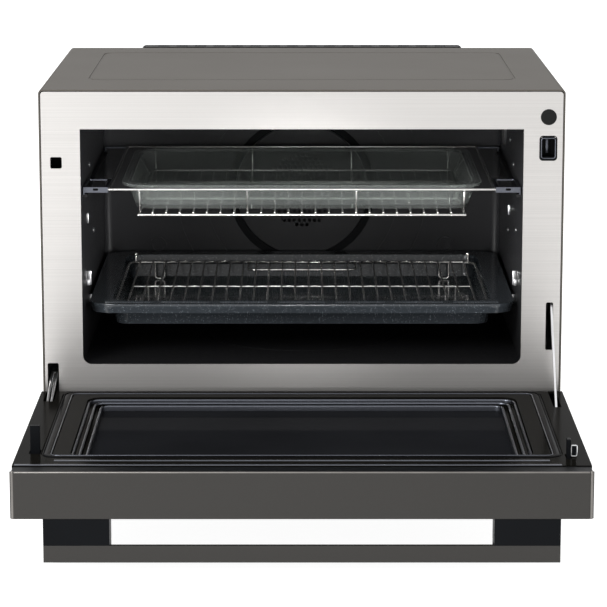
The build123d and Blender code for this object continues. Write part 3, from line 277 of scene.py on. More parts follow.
def cavity_enamel(name, colour, roughness, foot, head):
    """Gloss coat of the oven chamber, with painted shade and light: darker towards the floor and lighter up
    the walls, between two heights.
    """
    paint = Paint(name, colour, roughness=roughness, IOR=1.22)
    # Painted shade and light: the base colour runs from 0.42 of itself at the foot height to 1.3 of itself at
    # the head height, standing in for shade on the chamber floor and light on the walls.
    split = paint.node("ShaderNodeSeparateXYZ")
    paint.link(paint.place, split.inputs["Vector"])
    shade_by_height = paint.spread(split.outputs["Z"], 0.0, 1.0, start=foot, stop=head)
    paint.mottle(shade_by_height, 0.42, 1.3, start=0.0, stop=1.0)
    paint.wander(paint.noise(240, detail=4.0), 0.03, 0.08)
    paint.bump(paint.noise(60), 0.00003, strength=0.2)
    return paint.material


def chrome_wire(name, colour, roughness):
    """Bright drawn and plated wire with faint drawing marks."""
    paint = Paint(name, colour, metallic=1.0, roughness=roughness)
    marks = paint.noise(700)
    paint.mottle(paint.noise(35), 0.86, 1.06)
    paint.wander(marks, 0.03, 0.1)
    paint.bump(marks, 0.00002, strength=0.3)
    return paint.material


def speckled_enamel(name, base, speck):
    """Vitreous enamel with pale specks."""
    paint = Paint(name, base, roughness=0.16, IOR=1.38, Coat_Weight=0.3, Coat_Roughness=0.05)
    cells = paint.node("ShaderNodeTexVoronoi", Scale=900.0)
    paint.link(paint.place, cells.inputs["Vector"])
    dots = paint.spread(cells.outputs["Distance"], 1.0, 0.0, start=0.14, stop=0.3)
    patches = paint.spread(paint.noise(380, detail=2.0), 0.0, 1.0, start=0.46, stop=0.6)
    both = paint.node("ShaderNodeMath")
    both.operation = "MULTIPLY"
    paint.link(dots, both.inputs[0])
    paint.link(patches, both.inputs[1])
    paint.blend(both.outputs[0], [(0.0, base), (1.0, speck)])
    paint.bump(paint.noise(140, detail=2.0), 0.00005, strength=0.2)
    return paint.material


def clear_glass(name, colour, roughness=0.02, ior=1.47):
    """Clear glass with a faint ripple."""
    paint = Paint(name, colour, roughness=roughness, IOR=ior, Transmission_Weight=0.93)
    paint.mottle(paint.noise(6, detail=2.0), 0.97, 1.0)
    paint.bump(paint.noise(25, detail=2.0), 0.0002, strength=0.2)
    return paint.material


def dark_glass(name, colour, ior=1.4):
    """Glass printed black on its far side: dark, with a sharp reflection."""
    paint = Paint(name, colour, roughness=0.04, IOR=ior)
    paint.mottle(paint.noise(7), 0.85, 1.2)
    paint.wander(paint.noise(90, detail=4.0), 0.02, 0.05)
    return paint.material


def mineral_wool(name):
    """Fibrous insulation."""
    paint = Paint(name, (0.75, 0.72, 0.66), roughness=0.95, Sheen_Weight=0.3)
    fibre = paint.noise(180, detail=6.0, stretch=(1, 1, 3.0), rough=0.7)
    paint.blend(fibre, [(0.3, (0.5, 0.46, 0.38)), (0.7, (0.85, 0.82, 0.75))])
    paint.bump(fibre, 0.002, strength=0.8)
    return paint.material


def circuit_laminate(name):
    """Green laminate with darker copper tracks under the mask."""
    paint = Paint(name, (0.02, 0.12, 0.05), roughness=0.35)
    tracks = paint.node("ShaderNodeTexBrick", Scale=140.0)
    paint.link(paint.place, tracks.inputs["Vector"])
    paint.blend(tracks.outputs["Fac"], [(0.0, (0.015, 0.09, 0.035)), (1.0, (0.05, 0.2, 0.09))])
    paint.bump(tracks.outputs["Fac"], 0.0001, strength=0.5)
    return paint.material


def make_metals():
    """Bare, plated and brushed metal, by slot."""
    sideways = (2.0, 900.0, 2600.0)
    return {
        "front_steel": brushed_metal("front_steel", (0.56, 0.545, 0.53), sideways, roughness=0.34),
        "galvanised": brushed_metal("galvanised", (0.5, 0.51, 0.52), (400, 400, 3), roughness=0.4),
        "heater_sheath": chrome_wire("heater_sheath", (0.2, 0.19, 0.18), roughness=0.35),
        "motor_iron": baked_paint("motor_iron", (0.14, 0.14, 0.15), roughness=0.5, metallic=0.8),
        "pin_steel": brushed_metal("pin_steel", (0.55, 0.55, 0.56), (300, 300, 300), roughness=0.3),
        "link_steel": chrome_wire("link_steel", (0.8, 0.8, 0.81), roughness=0.26),
        "screw_steel": chrome_wire("screw_steel", (0.5, 0.5, 0.51), roughness=0.25),
        "chrome_wire": chrome_wire("chrome_wire", (0.86, 0.85, 0.83), roughness=0.2),
        "bracket_sheet": brushed_metal("bracket_sheet", (0.12, 0.127, 0.148), (500, 3, 500), roughness=0.3),
    }


def make_coats():
    """Painted and enamelled sheet, by slot."""
    return {
        "cabinet_paint": baked_paint("cabinet_paint", (0.081, 0.074, 0.065), roughness=0.5, ior=1.18),
        "door_trim": baked_paint("door_trim", (0.028, 0.0265, 0.0245), roughness=0.42),
        "door_pan": gloss_enamel("door_pan", (0.0052, 0.0049, 0.0042), roughness=0.14, waviness=0.3,
                                 ior=1.033),
        # Chamber coat with painted shade towards the floor and painted light up the walls, set by the foot
        # and head heights.
        "cavity_coat": cavity_enamel("cavity_coat", (0.025, 0.025, 0.0268), roughness=0.32,
                                     foot=0.116, head=0.19),
        "rail_steel": gloss_enamel("rail_steel", (0.012, 0.012, 0.013), roughness=0.3),
        "fan_steel": gloss_enamel("fan_steel", (0.023, 0.023, 0.0247), roughness=0.32, waviness=0.15,
                                  ior=1.22),
        "lamp_body": gloss_enamel("lamp_body", (0.82, 0.81, 0.77), roughness=0.3),
        "tray_enamel": speckled_enamel("tray_enamel", (0.027, 0.0315, 0.0365), (0.26, 0.3, 0.33)),
    }


def make_plastics():
    """Plastic, rubber, wool and circuit board, by slot."""
    return {
        "black_plastic": moulded_plastic("black_plastic", (0.0036, 0.0041, 0.005), roughness=0.42, ior=1.14),
        "gloss_plastic": gloss_enamel("gloss_plastic", (0.008, 0.008, 0.0085), roughness=0.12),
        "knob": moulded_plastic("knob", (0.03, 0.03, 0.031), roughness=0.3),
        "button_caps": moulded_plastic("button_caps", (0.03, 0.03, 0.031), roughness=0.35),
        "rubber": moulded_plastic("rubber", (0.006, 0.006, 0.006), roughness=0.72, grain=1400, depth=0.00005),
        "seal": gloss_enamel("seal", (0.0035, 0.0035, 0.004), roughness=0.2, waviness=0.5, ior=1.06),
        "wool": mineral_wool("wool"),
        "circuit": circuit_laminate("circuit"),
    }


def make_glasses():
    """Clear and dark glass, by slot."""
    return {
        "black_glass": dark_glass("black_glass", (0.005, 0.005, 0.006)),
        "window_glass": dark_glass("window_glass", (0.0088, 0.0092, 0.0105), ior=1.015),
        "display_glass": dark_glass("display_glass", (0.01, 0.014, 0.016)),
        "lamp_glass": clear_glass("lamp_glass", (0.9, 0.9, 0.9), roughness=0.3),
        "dish_glass": clear_glass("dish_glass", (0.93, 0.98, 0.95), ior=1.3),
    }


# ---------------------------------------------------------------- CAD nodes
BEVELS = {
    "outer_cabinet": 0.6, "front_frame": 0.5, "drip_tray": 1.0, "rear_cover": 1.0,
    "door_inner_frame": 1.2, "door_outer_glass": 0.6, "control_fascia": 0.6,
    "door_top_rail": 1.2, "door_top_trim": 0.5, "handle_brackets": 1.0,
    "handle_bar": 0.5, "handle_bar_backing": 0.8, "shelf_brackets": 0.3,
    "enamel_tray": 0.6, "glass_dish": 1.2, "latch_hook_left": 0.8,
    "latch_hook_right": 0.8, "latch_socket": 0.3, "hinge_brackets": 0.6,
    "fan_cover": 0.4, "door_inner_glass": 0.5, "door_arm_right": 0.4,
}
WELD = 0.002
SMOOTH_ANGLE = math.radians(38)


def dress_cad():
    """Gives every CAD node its material and rounds the edges that catch light."""
    for row in frame["record"]["subparts"]:
        name = row["node"]
        piece = NODES[name]
        piece.data.materials.clear()
        piece.data.materials.append(MATERIALS[row["material_slot"]])
        weld = piece.modifiers.new("weld", "WELD")
        weld.merge_threshold = WELD * MM
        if name in BEVELS:
            bevel = piece.modifiers.new("bevel", "BEVEL")
            bevel.width = BEVELS[name] * MM
            bevel.segments = 2
            bevel.limit_method = "ANGLE"
            bevel.angle_limit = SMOOTH_ANGLE
            bevel.harden_normals = False


# ---------------------------------------------------------------- modelling kit
WIRE_SIDES = 12
HEAD_SIDES = 24
TURN_SIDES = 48
BEND_STEPS = 6
ARCH_STEPS = 8
DOME = (80, 55, 28)
HEAD_OUTLINE = ((0.0, 1.0), (0.45, 1.0), (0.8, 0.8), (1.0, 0.45))


def at(x, y, z):
    """Point in the row frame from millimetres: X from the middle, Y back from the face plate, Z up."""
    return Vector((x * MM, FACE_Y + y * MM, z * MM))


def span(node):
    """Lowest and highest corner of a CAD node in millimetres as for at()."""
    low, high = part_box(node)
    home = Vector((0, FACE_Y, 0))
    return (low - home) / MM, (high - home) / MM


def spaced(first, last, count):
    """Evenly spaced places, both ends included."""
    return [first + (last - first) * index / (count - 1) for index in range(count)]


def rounded(points, bend, closed=False):
    """Path through the points with its corners rounded."""
    points = [Vector(point) for point in points]
    path = []
    for index, corner in enumerate(points):
        if not closed and index in (0, len(points) - 1):
            path.append(corner)
            continue
        before = (points[index - 1] - corner).normalized() * bend
        after = (points[(index + 1) % len(points)] - corner).normalized() * bend
        for step in range(BEND_STEPS + 1):
            t = step / BEND_STEPS
            path.append(corner + before * (1 - t) ** 2 + after * t ** 2)
    return path


def level_ring(half, near, far, z, corner):
    """Closed path lying flat: a rounded rectangle."""
    corners = [(half, near, z), (-half, near, z), (-half, far, z), (half, far, z)]
    return rounded(corners, corner, closed=True)


def circle(radius, sides=WIRE_SIDES):
    """Round section."""
    turns = [2 * math.pi * index / sides for index in range(sides)]
    return [(radius * math.cos(turn), radius * math.sin(turn)) for turn in turns]


def arch(half, foot, top):
    """Section of a low rounded ridge: flat underneath, half an ellipse on top."""
    turns = spaced(0.0, math.pi, ARCH_STEPS + 1)
    return [(half * math.cos(turn), foot + (top - foot) * math.sin(turn)) for turn in turns]


class Form:
    """Mesh under construction, in millimetres as for at()."""

    def __init__(self):
        self.mesh = bmesh.new()

    def block(self, low, high, soft):
        """Box between two corners with softened edges."""
        made = bmesh.ops.create_cube(self.mesh, size=1.0)["verts"]
        low = Vector(low)
        high = Vector(high)
        for vert in made:
            vert.co = (low + high) / 2 + vert.co * (high - low)
        edges = {edge for vert in made for edge in vert.link_edges}
        bmesh.ops.bevel(self.mesh, geom=list(edges), offset=soft, segments=2, profile=0.5, affect="EDGES")
        return self

    def skin(self, loops, closed):
        """Faces over a run of equal loops, capped unless the run is closed."""
        rows = [[self.mesh.verts.new(point) for point in loop] for loop in loops]
        pairs = list(zip(rows, rows[1:] + rows[:1]))
        for one, two in pairs if closed else pairs[:-1]:
            for index in range(len(one)):
                near = index - 1
                self.mesh.faces.new((one[near], one[index], two[index], two[near]))
        if not closed:
            self.mesh.faces.new(rows[0])
            self.mesh.faces.new(rows[-1])
        return self

    def sweep(self, points, section, closed=False, scales=None):
        """Section of (sideways, upward) pairs carried along a path."""
        points = [Vector(point) for point in points]
        count = len(points)
        loops = []
        up = None
        for index, point in enumerate(points):
            after = points[(index + 1) % count] if closed else points[min(index + 1, count - 1)]
            before = points[index - 1] if closed else points[max(index - 1, 0)]
            ahead = (after - before).normalized()
            if up is None:
                up = Vector((0, 0, 1)) if abs(ahead.z) < 0.9 else Vector((1, 0, 0))
            up = (up - ahead * up.dot(ahead)).normalized()
            side = ahead.cross(up)
            scale = scales[index] if scales else 1.0
            loops.append([point + side * a * scale + up * b * scale for a, b in section])
        return self.skin(loops, closed)

    def tube(self, points, radius, closed=False):
        """Round wire, with domed ends unless it is closed."""
        if closed:
            return self.sweep(points, circle(radius), closed=True)
        points = [Vector(point) for point in points]
        start = dome(points[0], points[1], radius)
        end = dome(points[-1], points[-2], radius)
        stations = start + [(point, 1.0) for point in points] + end[::-1]
        path = [point for point, _ in stations]
        return self.sweep(path, circle(radius), scales=[scale for _, scale in stations])

    def turned(self, centre, axis, outline, sides=TURN_SIDES, closed=False):
        """Outline of (along the axis, radius) pairs turned about an axis; a closed outline makes a ring."""
        centre = Vector(centre)
        axis = Vector(axis).normalized()
        side = axis.orthogonal().normalized()
        other = axis.cross(side)
        loops = []
        for along, radius in outline:
            loops.append([centre + axis * along + side * a + other * b for a, b in circle(radius, sides)])
        return self.skin(loops, closed)

    def bead(self, centre, radius):
        """Small round blob."""
        for vert in bmesh.ops.create_icosphere(self.mesh, subdivisions=2, radius=radius)["verts"]:
            vert.co = Vector(centre) + vert.co
        return self

    def head(self, centre, axis, radius, shade_by_height):
        """Domed rivet or screw head standing on a surface."""
        outline = [(shade_by_height * rise, radius * share) for rise, share in HEAD_OUTLINE]
        return self.turned(centre, axis, outline, HEAD_SIDES)

    def place(self, name, slot, body):
        """Sets the mesh in the row frame as a piece that rides on a body."""
        for vert in self.mesh.verts:
            vert.co = at(*vert.co)
        bmesh.ops.recalc_face_normals(self.mesh, faces=self.mesh.faces)
        data = bpy.data.meshes.new(name)
        self.mesh.to_mesh(data)
        self.mesh.free()
        data.polygons.foreach_set("use_smooth", [True] * len(data.polygons))
        data.set_sharp_from_angle(angle=SMOOTH_ANGLE)
        data.materials.append(MATERIALS[slot])
        piece = bpy.data.objects.new(name, data)
        bpy.context.scene.collection.objects.link(piece)
        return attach(piece, body)


def dome(tip, inward, radius):
    """Stations that close a wire's end: places past the tip and shares of the radius, outermost first."""
    out = (tip - inward).normalized()
    turns = [math.radians(turn) for turn in DOME]
    return [(tip + out * radius * math.sin(turn), math.cos(turn)) for turn in turns]


def middle(low, high):
    """Point halfway between two corners."""
    return (low + high) / 2


# ---------------------------------------------------------------- face plate and fan cover
RING_INNER = 70.2
RING_OUTER = 78.4
RING_FRONT = 0.5
RING_SHOULDER = 1.0
RING_HEEL = 1.4
RING_BACK = 3.0
RING_SOFT = 0.4
LIP_X = 6.6
LIP_Z = 9.6
LIP_CORNER = 2.4
LIP_WIRE = 0.5
TONGUE_X = 1.6
TONGUE_Z = 7.0
TONGUE_NEAR = 16.0
TONGUE_FAR = 17.6
TONGUE_SOFT = 0.5
STOP_SUNK = 0.2
STOP_PROUD = 0.15
STOP_RADII = (3.4, 3.9, 5.0, 5.6)
STOP_SIDES = 32


def add_fan_ring():
    """Ring in the channel round the fan cover."""
    low, high = span("fan_cover")
    centre = (0, low.y, middle(low, high).z)
    outline = [(RING_FRONT, RING_INNER + RING_SOFT), (RING_FRONT, RING_OUTER - RING_SOFT),
               (RING_SHOULDER, RING_OUTER), (RING_HEEL, RING_OUTER), (RING_BACK, RING_INNER)]
    ring = Form().turned(centre, (0, 1, 0), outline, closed=True)
    ring.place("fan_channel_ring", "black_plastic", "oven")


def add_socket_lip():
    """Bright lip round the latch socket and the spring tongue deep inside it."""
    low, high = span("latch_socket")
    x = middle(low, high).x
    z = middle(low, high).z
    corners = [(x - LIP_X, low.y, z - LIP_Z), (x + LIP_X, low.y, z - LIP_Z), (x + LIP_X, low.y, z + LIP_Z),
               (x - LIP_X, low.y, z + LIP_Z)]
    lip = Form().tube(rounded(corners, LIP_CORNER, closed=True), LIP_WIRE, closed=True)
    tongue_low = (x - TONGUE_X, TONGUE_NEAR, z - TONGUE_Z)
    tongue_high = (x + TONGUE_X, TONGUE_FAR, z + TONGUE_Z)
    lip.block(tongue_low, tongue_high, TONGUE_SOFT)
    lip.place("socket_lip", "bracket_sheet", "oven")


def add_stop_ring():
    """Raised ring on the round rubber stop."""
    low, high = span("bumper_plug")
    centre = (middle(low, high).x, low.y, middle(low, high).z)
    inner, inner_crest, outer_crest, outer = STOP_RADII
    outline = [(STOP_SUNK, inner), (-STOP_PROUD, inner_crest), (-STOP_PROUD, outer_crest), (STOP_SUNK, outer)]
    ring = Form().turned(centre, (0, 1, 0), outline, STOP_SIDES, closed=True)
    ring.place("bumper_ring", "rubber", "oven")


# ---------------------------------------------------------------- chamber
LINER_SHEET = 1.5
STUD_R = 2.6
STUD_PROUD = 1.6
LEFT_STUDS = ((112.0, 292.0), (155.0, 219.0))
RIGHT_STUDS = ((170.0, 309.0), (126.0, 290.0), (185.0, 214.0), (84.0, 231.0))
LEFT_DASH = (77.0, 244.0)
RIGHT_DASH = (170.0, 237.0)
DASH_HALF = 1.4
DASH_TALL = 5.0
GUIDE_INNER = 207.2
GUIDE_OUTER = 210.8
GUIDE_TABS = ((68.4, 69.6, 10.0, 24.0), (48.6, 49.6, 13.0, 19.0), (84.0, 85.2, -10.0, -2.6))
SHEET_SOFT = 0.4


def add_wall_rivets():
    """Rivets and locating dashes on the side walls, each at its own place back from the mouth and up."""
    wall = span("cavity_liner")[1].x - LINER_SHEET
    studs = Form()
    for side, places in ((-1, LEFT_STUDS), (1, RIGHT_STUDS)):
        for y, z in places:
            studs.head((side * wall, y, z), (-side, 0, 0), STUD_R, STUD_PROUD)
    for side, (y, z) in ((-1, LEFT_DASH), (1, RIGHT_DASH)):
        x0, x1 = sorted((side * wall, side * (wall - STUD_PROUD)))
        studs.block((x0, y - DASH_HALF, z - DASH_TALL), (x1, y + DASH_HALF, z + DASH_TALL), SHEET_SOFT)
    studs.place("wall_rivets", "link_steel", "oven")


def add_guide_tabs():
    """Small upright tabs on both walls: front, back, foot and head, the heights from the tray's rim."""
    rim = span("enamel_tray")[1].z
    tabs = Form()
    for side in (-1, 1):
        x0, x1 = sorted((side * GUIDE_INNER, side * GUIDE_OUTER))
        for front, back, foot, head in GUIDE_TABS:
            tabs.block((x0, front, rim + foot), (x1, back, rim + head), SHEET_SOFT)
    tabs.place("tray_guide_tabs", "link_steel", "oven")


# ---------------------------------------------------------------- shelves and cookware
BASKET_PITCH = 13.1
BASKET_COUNT = 23
WELD_R = 1.3
WELD_IN = 0.3
WELD_SUNK = 0.95
DROPS = (-156.0, -52.4, 52.4, 156.0)
DROP_WELD_R = 1.5
DROP_WELD_IN = 1.9
DROP_WELD_SUNK = 2.6
TRAY_CORNER = 26.0
TRAY_LIP = 8.6
ROLL = ((0.0, -1.0), (1.1, -0.8), (1.7, -0.35), (1.7, 0.2), (1.2, 0.7), (0.3, 1.03), (-1.2, 1.06),
        (-1.6, 0.8), (-0.6, 0.0))
RIB_REACH = 191.0
RIB_GAPS = (28.0, 85.0, 142.0)
RIB_GAP_HALF = 5.5
RIB_IN = 11.0
RIB_R = 0.55
POST_IN_X = 8.5
POST_IN_Y = 4.0
POST_FOOT = 1.4
POST_TOP = 5.6
POST_R = 1.2
BALL_UP = 6.6
BALL_R = 2.6


def add_rack_welds():
    """Weld beads where the rack's thin wires cross its frames."""
    low, high = span("rack_basket")
    welds = Form()
    reach = BASKET_PITCH * (BASKET_COUNT - 1) / 2
    for x in spaced(-reach, reach, BASKET_COUNT):
        for y in (low.y + WELD_IN, high.y - WELD_IN):
            welds.bead((x, y, high.z - WELD_SUNK), WELD_R)
    low, high = span("rack_frame")
    for x in DROPS:
        for y in (low.y + DROP_WELD_IN, high.y - DROP_WELD_IN):
            welds.bead((x, y, high.z - DROP_WELD_SUNK), DROP_WELD_R)
    welds.place("rack_welds", "chrome_wire", "upper_rack")


def add_tray_rim():
    """Rolled rim of the tray: its section in millimetres outward and shares of half the lip's height."""
    low, high = span("enamel_tray")
    half = TRAY_LIP / 2
    path = level_ring(high.x, high.y, low.y, high.z - half, TRAY_CORNER)
    section = [(-out, up * half) for out, up in ROLL]
    Form().sweep(path, section, closed=True).place("tray_rolled_rim", "tray_enamel", "tray")


def add_tray_ribs():
    """Interrupted rib along the front flange of the tray."""
    low, high = span("enamel_tray")
    gaps = [-gap for gap in reversed(RIB_GAPS)] + list(RIB_GAPS)
    starts = [-RIB_REACH] + [gap + RIB_GAP_HALF for gap in gaps]
    ends = [gap - RIB_GAP_HALF for gap in gaps] + [RIB_REACH]
    ribs = Form()
    for start, end in zip(starts, ends):
        ribs.tube([(start, low.y + RIB_IN, high.z), (end, low.y + RIB_IN, high.z)], RIB_R)
    ribs.place("tray_flange_ribs", "tray_enamel", "tray")


def add_trivet_posts():
    """Short posts with balls at the trivet's rear corners."""
    low, high = span("wire_trivet")
    y = high.y - POST_IN_Y
    posts = Form()
    for side in (-1, 1):
        x = side * (high.x - POST_IN_X)
        posts.tube([(x, y, low.z + POST_FOOT), (x, y, high.z + POST_TOP)], POST_R)
        posts.bead((x, y, high.z + BALL_UP), BALL_R)
    posts.place("trivet_posts", "chrome_wire", "trivet")


# ---------------------------------------------------------------- door
SEAL_HALF = 3.9
SEAL_INSET = 4.0
SEAL_TUBE_CORNER = 11.0
SEAL_SHY = 0.25
SEAL_PROUD = 0.6
SEAL_CORNER = 14.0
EDGE_R = 0.5
EDGE_SUNK = 0.65
SEAL_EDGES = (("seal_outer_edge", "seal", 0.2), ("seal_inner_edge", "bracket_sheet", 7.4))
RIDGE_HALF = 2.6
RIDGE_TALL = 0.5
RIDGE_FROM_SEAL = 10.0
RIDGE_SHORT = 12.0
RIDGE_END = 2.0
POLISH_R = 0.8
POLISH_FOOT = 1.0
CHAMFER_IN = 2.2
CHAMFER_DEEP = 1.0
RECESS_WIDER = 2.6
RECESS_LIPS = ((0.0, 5.0, 8.4, 12.6), (5.8, 5.0, 6.7, 10.8), (11.8, 0.0, 5.1, 8.8))
RECESS_HALF = 1.15
RECESS_ROUND = 1.2
RECESS_ARC = 0.3
RECESS_STEPS = 7
LOOP_SUNK = 5.5
LOOP_TALL = 9.5
LOOP_AHEAD = 3.2
LOOP_LEFT = 5.6
LOOP_RIGHT = 0.5
LOOP_BEND = 1.3
LOOP_WIRE = 0.55


def add_seal():
    """Rounded seal tube with a thin bead along each of its edges."""
    low, high = span("door_seal")
    path = level_ring(high.x - SEAL_INSET, high.y - SEAL_INSET, low.y + SEAL_INSET, low.z, SEAL_TUBE_CORNER)
    section = arch(SEAL_HALF, 0.0, high.z - low.z - SEAL_SHY)
    tube = Form().sweep(path, section, closed=True).place("seal_tube", "seal", "door")
    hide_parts("door_seal")
    for name, slot, inset in SEAL_EDGES:
        corner = SEAL_CORNER - inset
        edge = level_ring(high.x - inset, high.y - inset, low.y + inset, high.z - EDGE_SUNK, corner)
        Form().tube(edge, EDGE_R, closed=True).place(name, slot, "door")


def add_door_ridges():
    """Two low ridges between the seal and the free edge; the outer one stops short of the rubber stop."""
    pan_low = span("door_inner_frame")[0]
    seal_low, seal_high = span("door_seal")
    face = seal_high.z - SEAL_PROUD
    ridge = arch(RIDGE_HALF, -RIDGE_TALL, RIDGE_TALL)
    inner = seal_high.x - RIDGE_SHORT
    inner_y = seal_low.y - RIDGE_FROM_SEAL
    outer_y = pan_low.y + RIDGE_HALF
    right = span("bumper_plug")[0].x - RIDGE_HALF
    ridges = Form()
    ridges.sweep([(-inner, inner_y, face), (inner, inner_y, face)], ridge)
    ridges.sweep([(pan_low.x + RIDGE_END, outer_y, face), (right, outer_y, face)], ridge)
    ridges.place("door_ridges", "bracket_sheet", "door")


def add_band_polish():
    """Polished edge of the metal band: along its top and down both ends."""
    low, high = span("door_top_trim")
    front = low.y + POLISH_R
    top = high.z - POLISH_R
    end = high.x - CHAMFER_IN * 2
    polish = Form().tube([(-end, front, top), (end, front, top)], POLISH_R)
    for side in (-1, 1):
        x = side * (high.x - CHAMFER_IN)
        y = front + CHAMFER_DEEP
        polish.tube([(x, y, low.z + POLISH_FOOT), (x, y, top)], CHAMFER_IN - POLISH_R)
    polish.place("band_polish", "heater_sheath", "door")


def add_recess_lips():
    """Three rolled lips that step down round the window: inset, foot and top above the glass, corner."""
    low, high = span("door_inner_glass")
    for number, (inset, foot, top, corner) in enumerate(RECESS_LIPS, start=1):
        grow = RECESS_WIDER - inset
        path = level_ring(high.x + grow, high.y + grow, low.y - grow, 0, corner)
        shoulder = high.z + top - RECESS_ROUND
        section = [(RECESS_HALF, high.z + foot), (RECESS_HALF, shoulder)]
        for turn in spaced(RECESS_ARC, math.pi - RECESS_ARC, RECESS_STEPS):
            section.append((RECESS_HALF * math.cos(turn), shoulder + RECESS_ROUND * math.sin(turn)))
        section += [(-RECESS_HALF, shoulder), (-RECESS_HALF, high.z + foot)]
        Form().sweep(path, section, closed=True).place(f"recess_lip_{number}", "bracket_sheet", "door")


def add_latch_loop():
    """Wire loop beside the right latch hook."""
    low, high = span("latch_hook_right")
    top = high.z - LOOP_SUNK
    foot = top - LOOP_TALL
    y = middle(low, high).y - LOOP_AHEAD
    left = high.x - LOOP_LEFT
    right = high.x - LOOP_RIGHT
    corners = [(left, y, foot), (left, y, top), (right, y, top), (right, y, foot)]
    loop = Form().tube(rounded(corners, LOOP_BEND, closed=True), LOOP_WIRE, closed=True)
    loop.place("latch_loop", "link_steel", "latch_right")


# ---------------------------------------------------------------- control strip
TICKS = 24
LONG_TICK_EVERY = 6
TICK_IN = 25.5
TICK_OUT = 28.0
LONG_TICK = 1.5
TICK_HALF = 0.3
INK = 0.12
INK_SOFT = 0.05
STROKE = 0.5
SYMBOL_LEFT = 32.0
SYMBOL_HALF = 2.6
RING_HOLE = 2.2
RING_RIM = 2.8
BAR_SHIFT = 1.4
POINTER_BACK = 2.2
FIGURES = ("abcdfg", "abcdg", "abcdefg")
FIGURE_START = 20.0
FIGURE_PITCH = 14.0
FIGURE_HALF = 4.0
FIGURE_TALL = 7.0
SEGMENT_GAP = 0.7


def add_control_print():
    """Printed marks on the control strip: ticks round the dial and a symbol beside each button."""
    centre = middle(*span("control_dial"))
    face = span("control_fascia")[0].z
    centre.z = face
    marks = Form()
    for index in range(TICKS):
        turn = 2 * math.pi * index / TICKS
        along = Vector((math.cos(turn), math.sin(turn), 0))
        reach = TICK_OUT + (LONG_TICK if index % LONG_TICK_EVERY == 0 else 0)
        section = [(-TICK_HALF, -INK), (TICK_HALF, -INK), (TICK_HALF, INK), (-TICK_HALF, INK)]
        marks.sweep([centre + along * TICK_IN, centre + along * reach], section)
    for number, symbol in enumerate((ring_symbol, bars_symbol, pointer_symbol), start=1):
        button = middle(*span(f"button_{number}"))
        symbol(marks, button.x - SYMBOL_LEFT, button.y, face)
    marks.place("control_print", "screw_steel", "door")


def ring_symbol(marks, x, y, face):
    """Open ring."""
    outline = [(-INK, RING_HOLE), (-INK, RING_RIM), (INK, RING_RIM), (INK, RING_HOLE)]
    marks.turned((x, y, face), (0, 0, 1), outline, HEAD_SIDES, closed=True)


def bars_symbol(marks, x, y, face):
    """Two upright bars."""
    for shift in (-BAR_SHIFT, BAR_SHIFT):
        stroke(marks, x + shift, y, STROKE, SYMBOL_HALF, face)


def pointer_symbol(marks, x, y, face):
    """Triangle that points right."""
    loops = []
    for z in (face - INK, face + INK):
        loops.append([(x - POINTER_BACK, y - SYMBOL_HALF, z), (x + SYMBOL_HALF, y, z),
                      (x - POINTER_BACK, y + SYMBOL_HALF, z)])
    marks.skin(loops, False)


def stroke(marks, x, y, half_x, half_y, face):
    """Flat printed bar about a point."""
    marks.block((x - half_x, y - half_y, face - INK), (x + half_x, y + half_y, face + INK), INK_SOFT)


def digit(marks, lit, x, y, face):
    """Seven-segment figure; its top points to the door's free edge."""
    level = {"a": -FIGURE_TALL, "g": 0.0, "d": FIGURE_TALL}
    half = FIGURE_TALL / 2
    upright = {"f": (-FIGURE_HALF, -half), "b": (FIGURE_HALF, -half),
               "e": (-FIGURE_HALF, half), "c": (FIGURE_HALF, half)}
    for key in lit:
        if key in level:
            stroke(marks, x, y + level[key], FIGURE_HALF - SEGMENT_GAP, STROKE, face)
        else:
            across, along = upright[key]
            stroke(marks, x + across, y + along, STROKE, half - SEGMENT_GAP, face)


def add_display_figures():
    """Lit figures on the display window."""
    low, high = span("display_window")
    segments = Form()
    for index, lit in enumerate(FIGURES):
        digit(segments, lit, low.x + FIGURE_START + index * FIGURE_PITCH, middle(low, high).y, low.z)
    segments.place("display_segments", "screw_steel", "door")


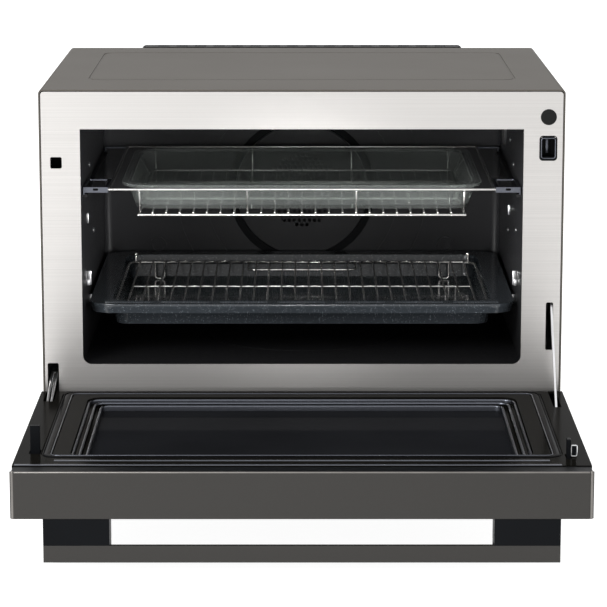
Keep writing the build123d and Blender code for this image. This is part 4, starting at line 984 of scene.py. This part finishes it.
# ---------------------------------------------------------------- outside
PLATE_X = (110.0, 190.0)
PLATE_Z = (60.0, 100.0)
PLATE_SUNK = 0.1
PLATE_PROUD = 0.4
PLATE_SOFT = 0.15
REAR_BEAD_Z = (190.0, 215.0, 240.0)
REAR_BEAD_HALF = 150.0
REAR_BEAD_SUNK = 0.5
REAR_BEAD_R = 1.4
BASE_SCREW_X = 225.0
BASE_SCREW_Y = (20.0, 200.0, 370.0)
BASE_SCREW_R = 3.6
BASE_SCREW_PROUD = 1.6
BASE_BEADS = 5
BASE_BEAD_X = 160.0
BASE_BEAD_Y = (60.0, 210.0)
BASE_BEAD_SUNK = 0.4
BASE_BEAD_R = 1.8


def add_rear_detail():
    """Blank rating plate and pressed beads on the back panel."""
    face = span("rear_panel")[1].y
    plate_low = (PLATE_X[0], face - PLATE_SUNK, PLATE_Z[0])
    plate_high = (PLATE_X[1], face + PLATE_PROUD, PLATE_Z[1])
    plate = Form().block(plate_low, plate_high, PLATE_SOFT)
    plate.place("rating_plate", "galvanised", "oven")
    beads = Form()
    y = face - REAR_BEAD_SUNK
    for z in REAR_BEAD_Z:
        beads.tube([(-REAR_BEAD_HALF, y, z), (REAR_BEAD_HALF, y, z)], REAR_BEAD_R)
    beads.place("rear_panel_beads", "galvanised", "oven")


def add_base_detail():
    """Screws and pressed beads under the base plate."""
    face = span("base_plate")[0].z
    screws = Form()
    for x in (-BASE_SCREW_X, BASE_SCREW_X):
        for y in BASE_SCREW_Y:
            screws.head((x, y, face), (0, 0, -1), BASE_SCREW_R, BASE_SCREW_PROUD)
    screws.place("panel_screws", "screw_steel", "oven")
    beads = Form()
    z = face + BASE_BEAD_SUNK
    for x in spaced(-BASE_BEAD_X, BASE_BEAD_X, BASE_BEADS):
        beads.tube([(x, BASE_BEAD_Y[0], z), (x, BASE_BEAD_Y[1], z)], BASE_BEAD_R)
    beads.place("base_beads", "galvanised", "oven")


# ---------------------------------------------------------------- build
make_camera()
make_surroundings()
make_lights()
make_floor()
MATERIALS = {**make_metals(), **make_coats(), **make_plastics(), **make_glasses()}
dress_cad()
add_fan_ring()
add_socket_lip()
add_stop_ring()
add_wall_rivets()
add_guide_tabs()
add_rack_welds()
add_tray_rim()
add_tray_ribs()
add_trivet_posts()
add_seal()
add_door_ridges()
add_band_polish()
add_recess_lips()
add_latch_loop()
add_control_print()
add_display_figures()
add_rear_detail()
add_base_detail()
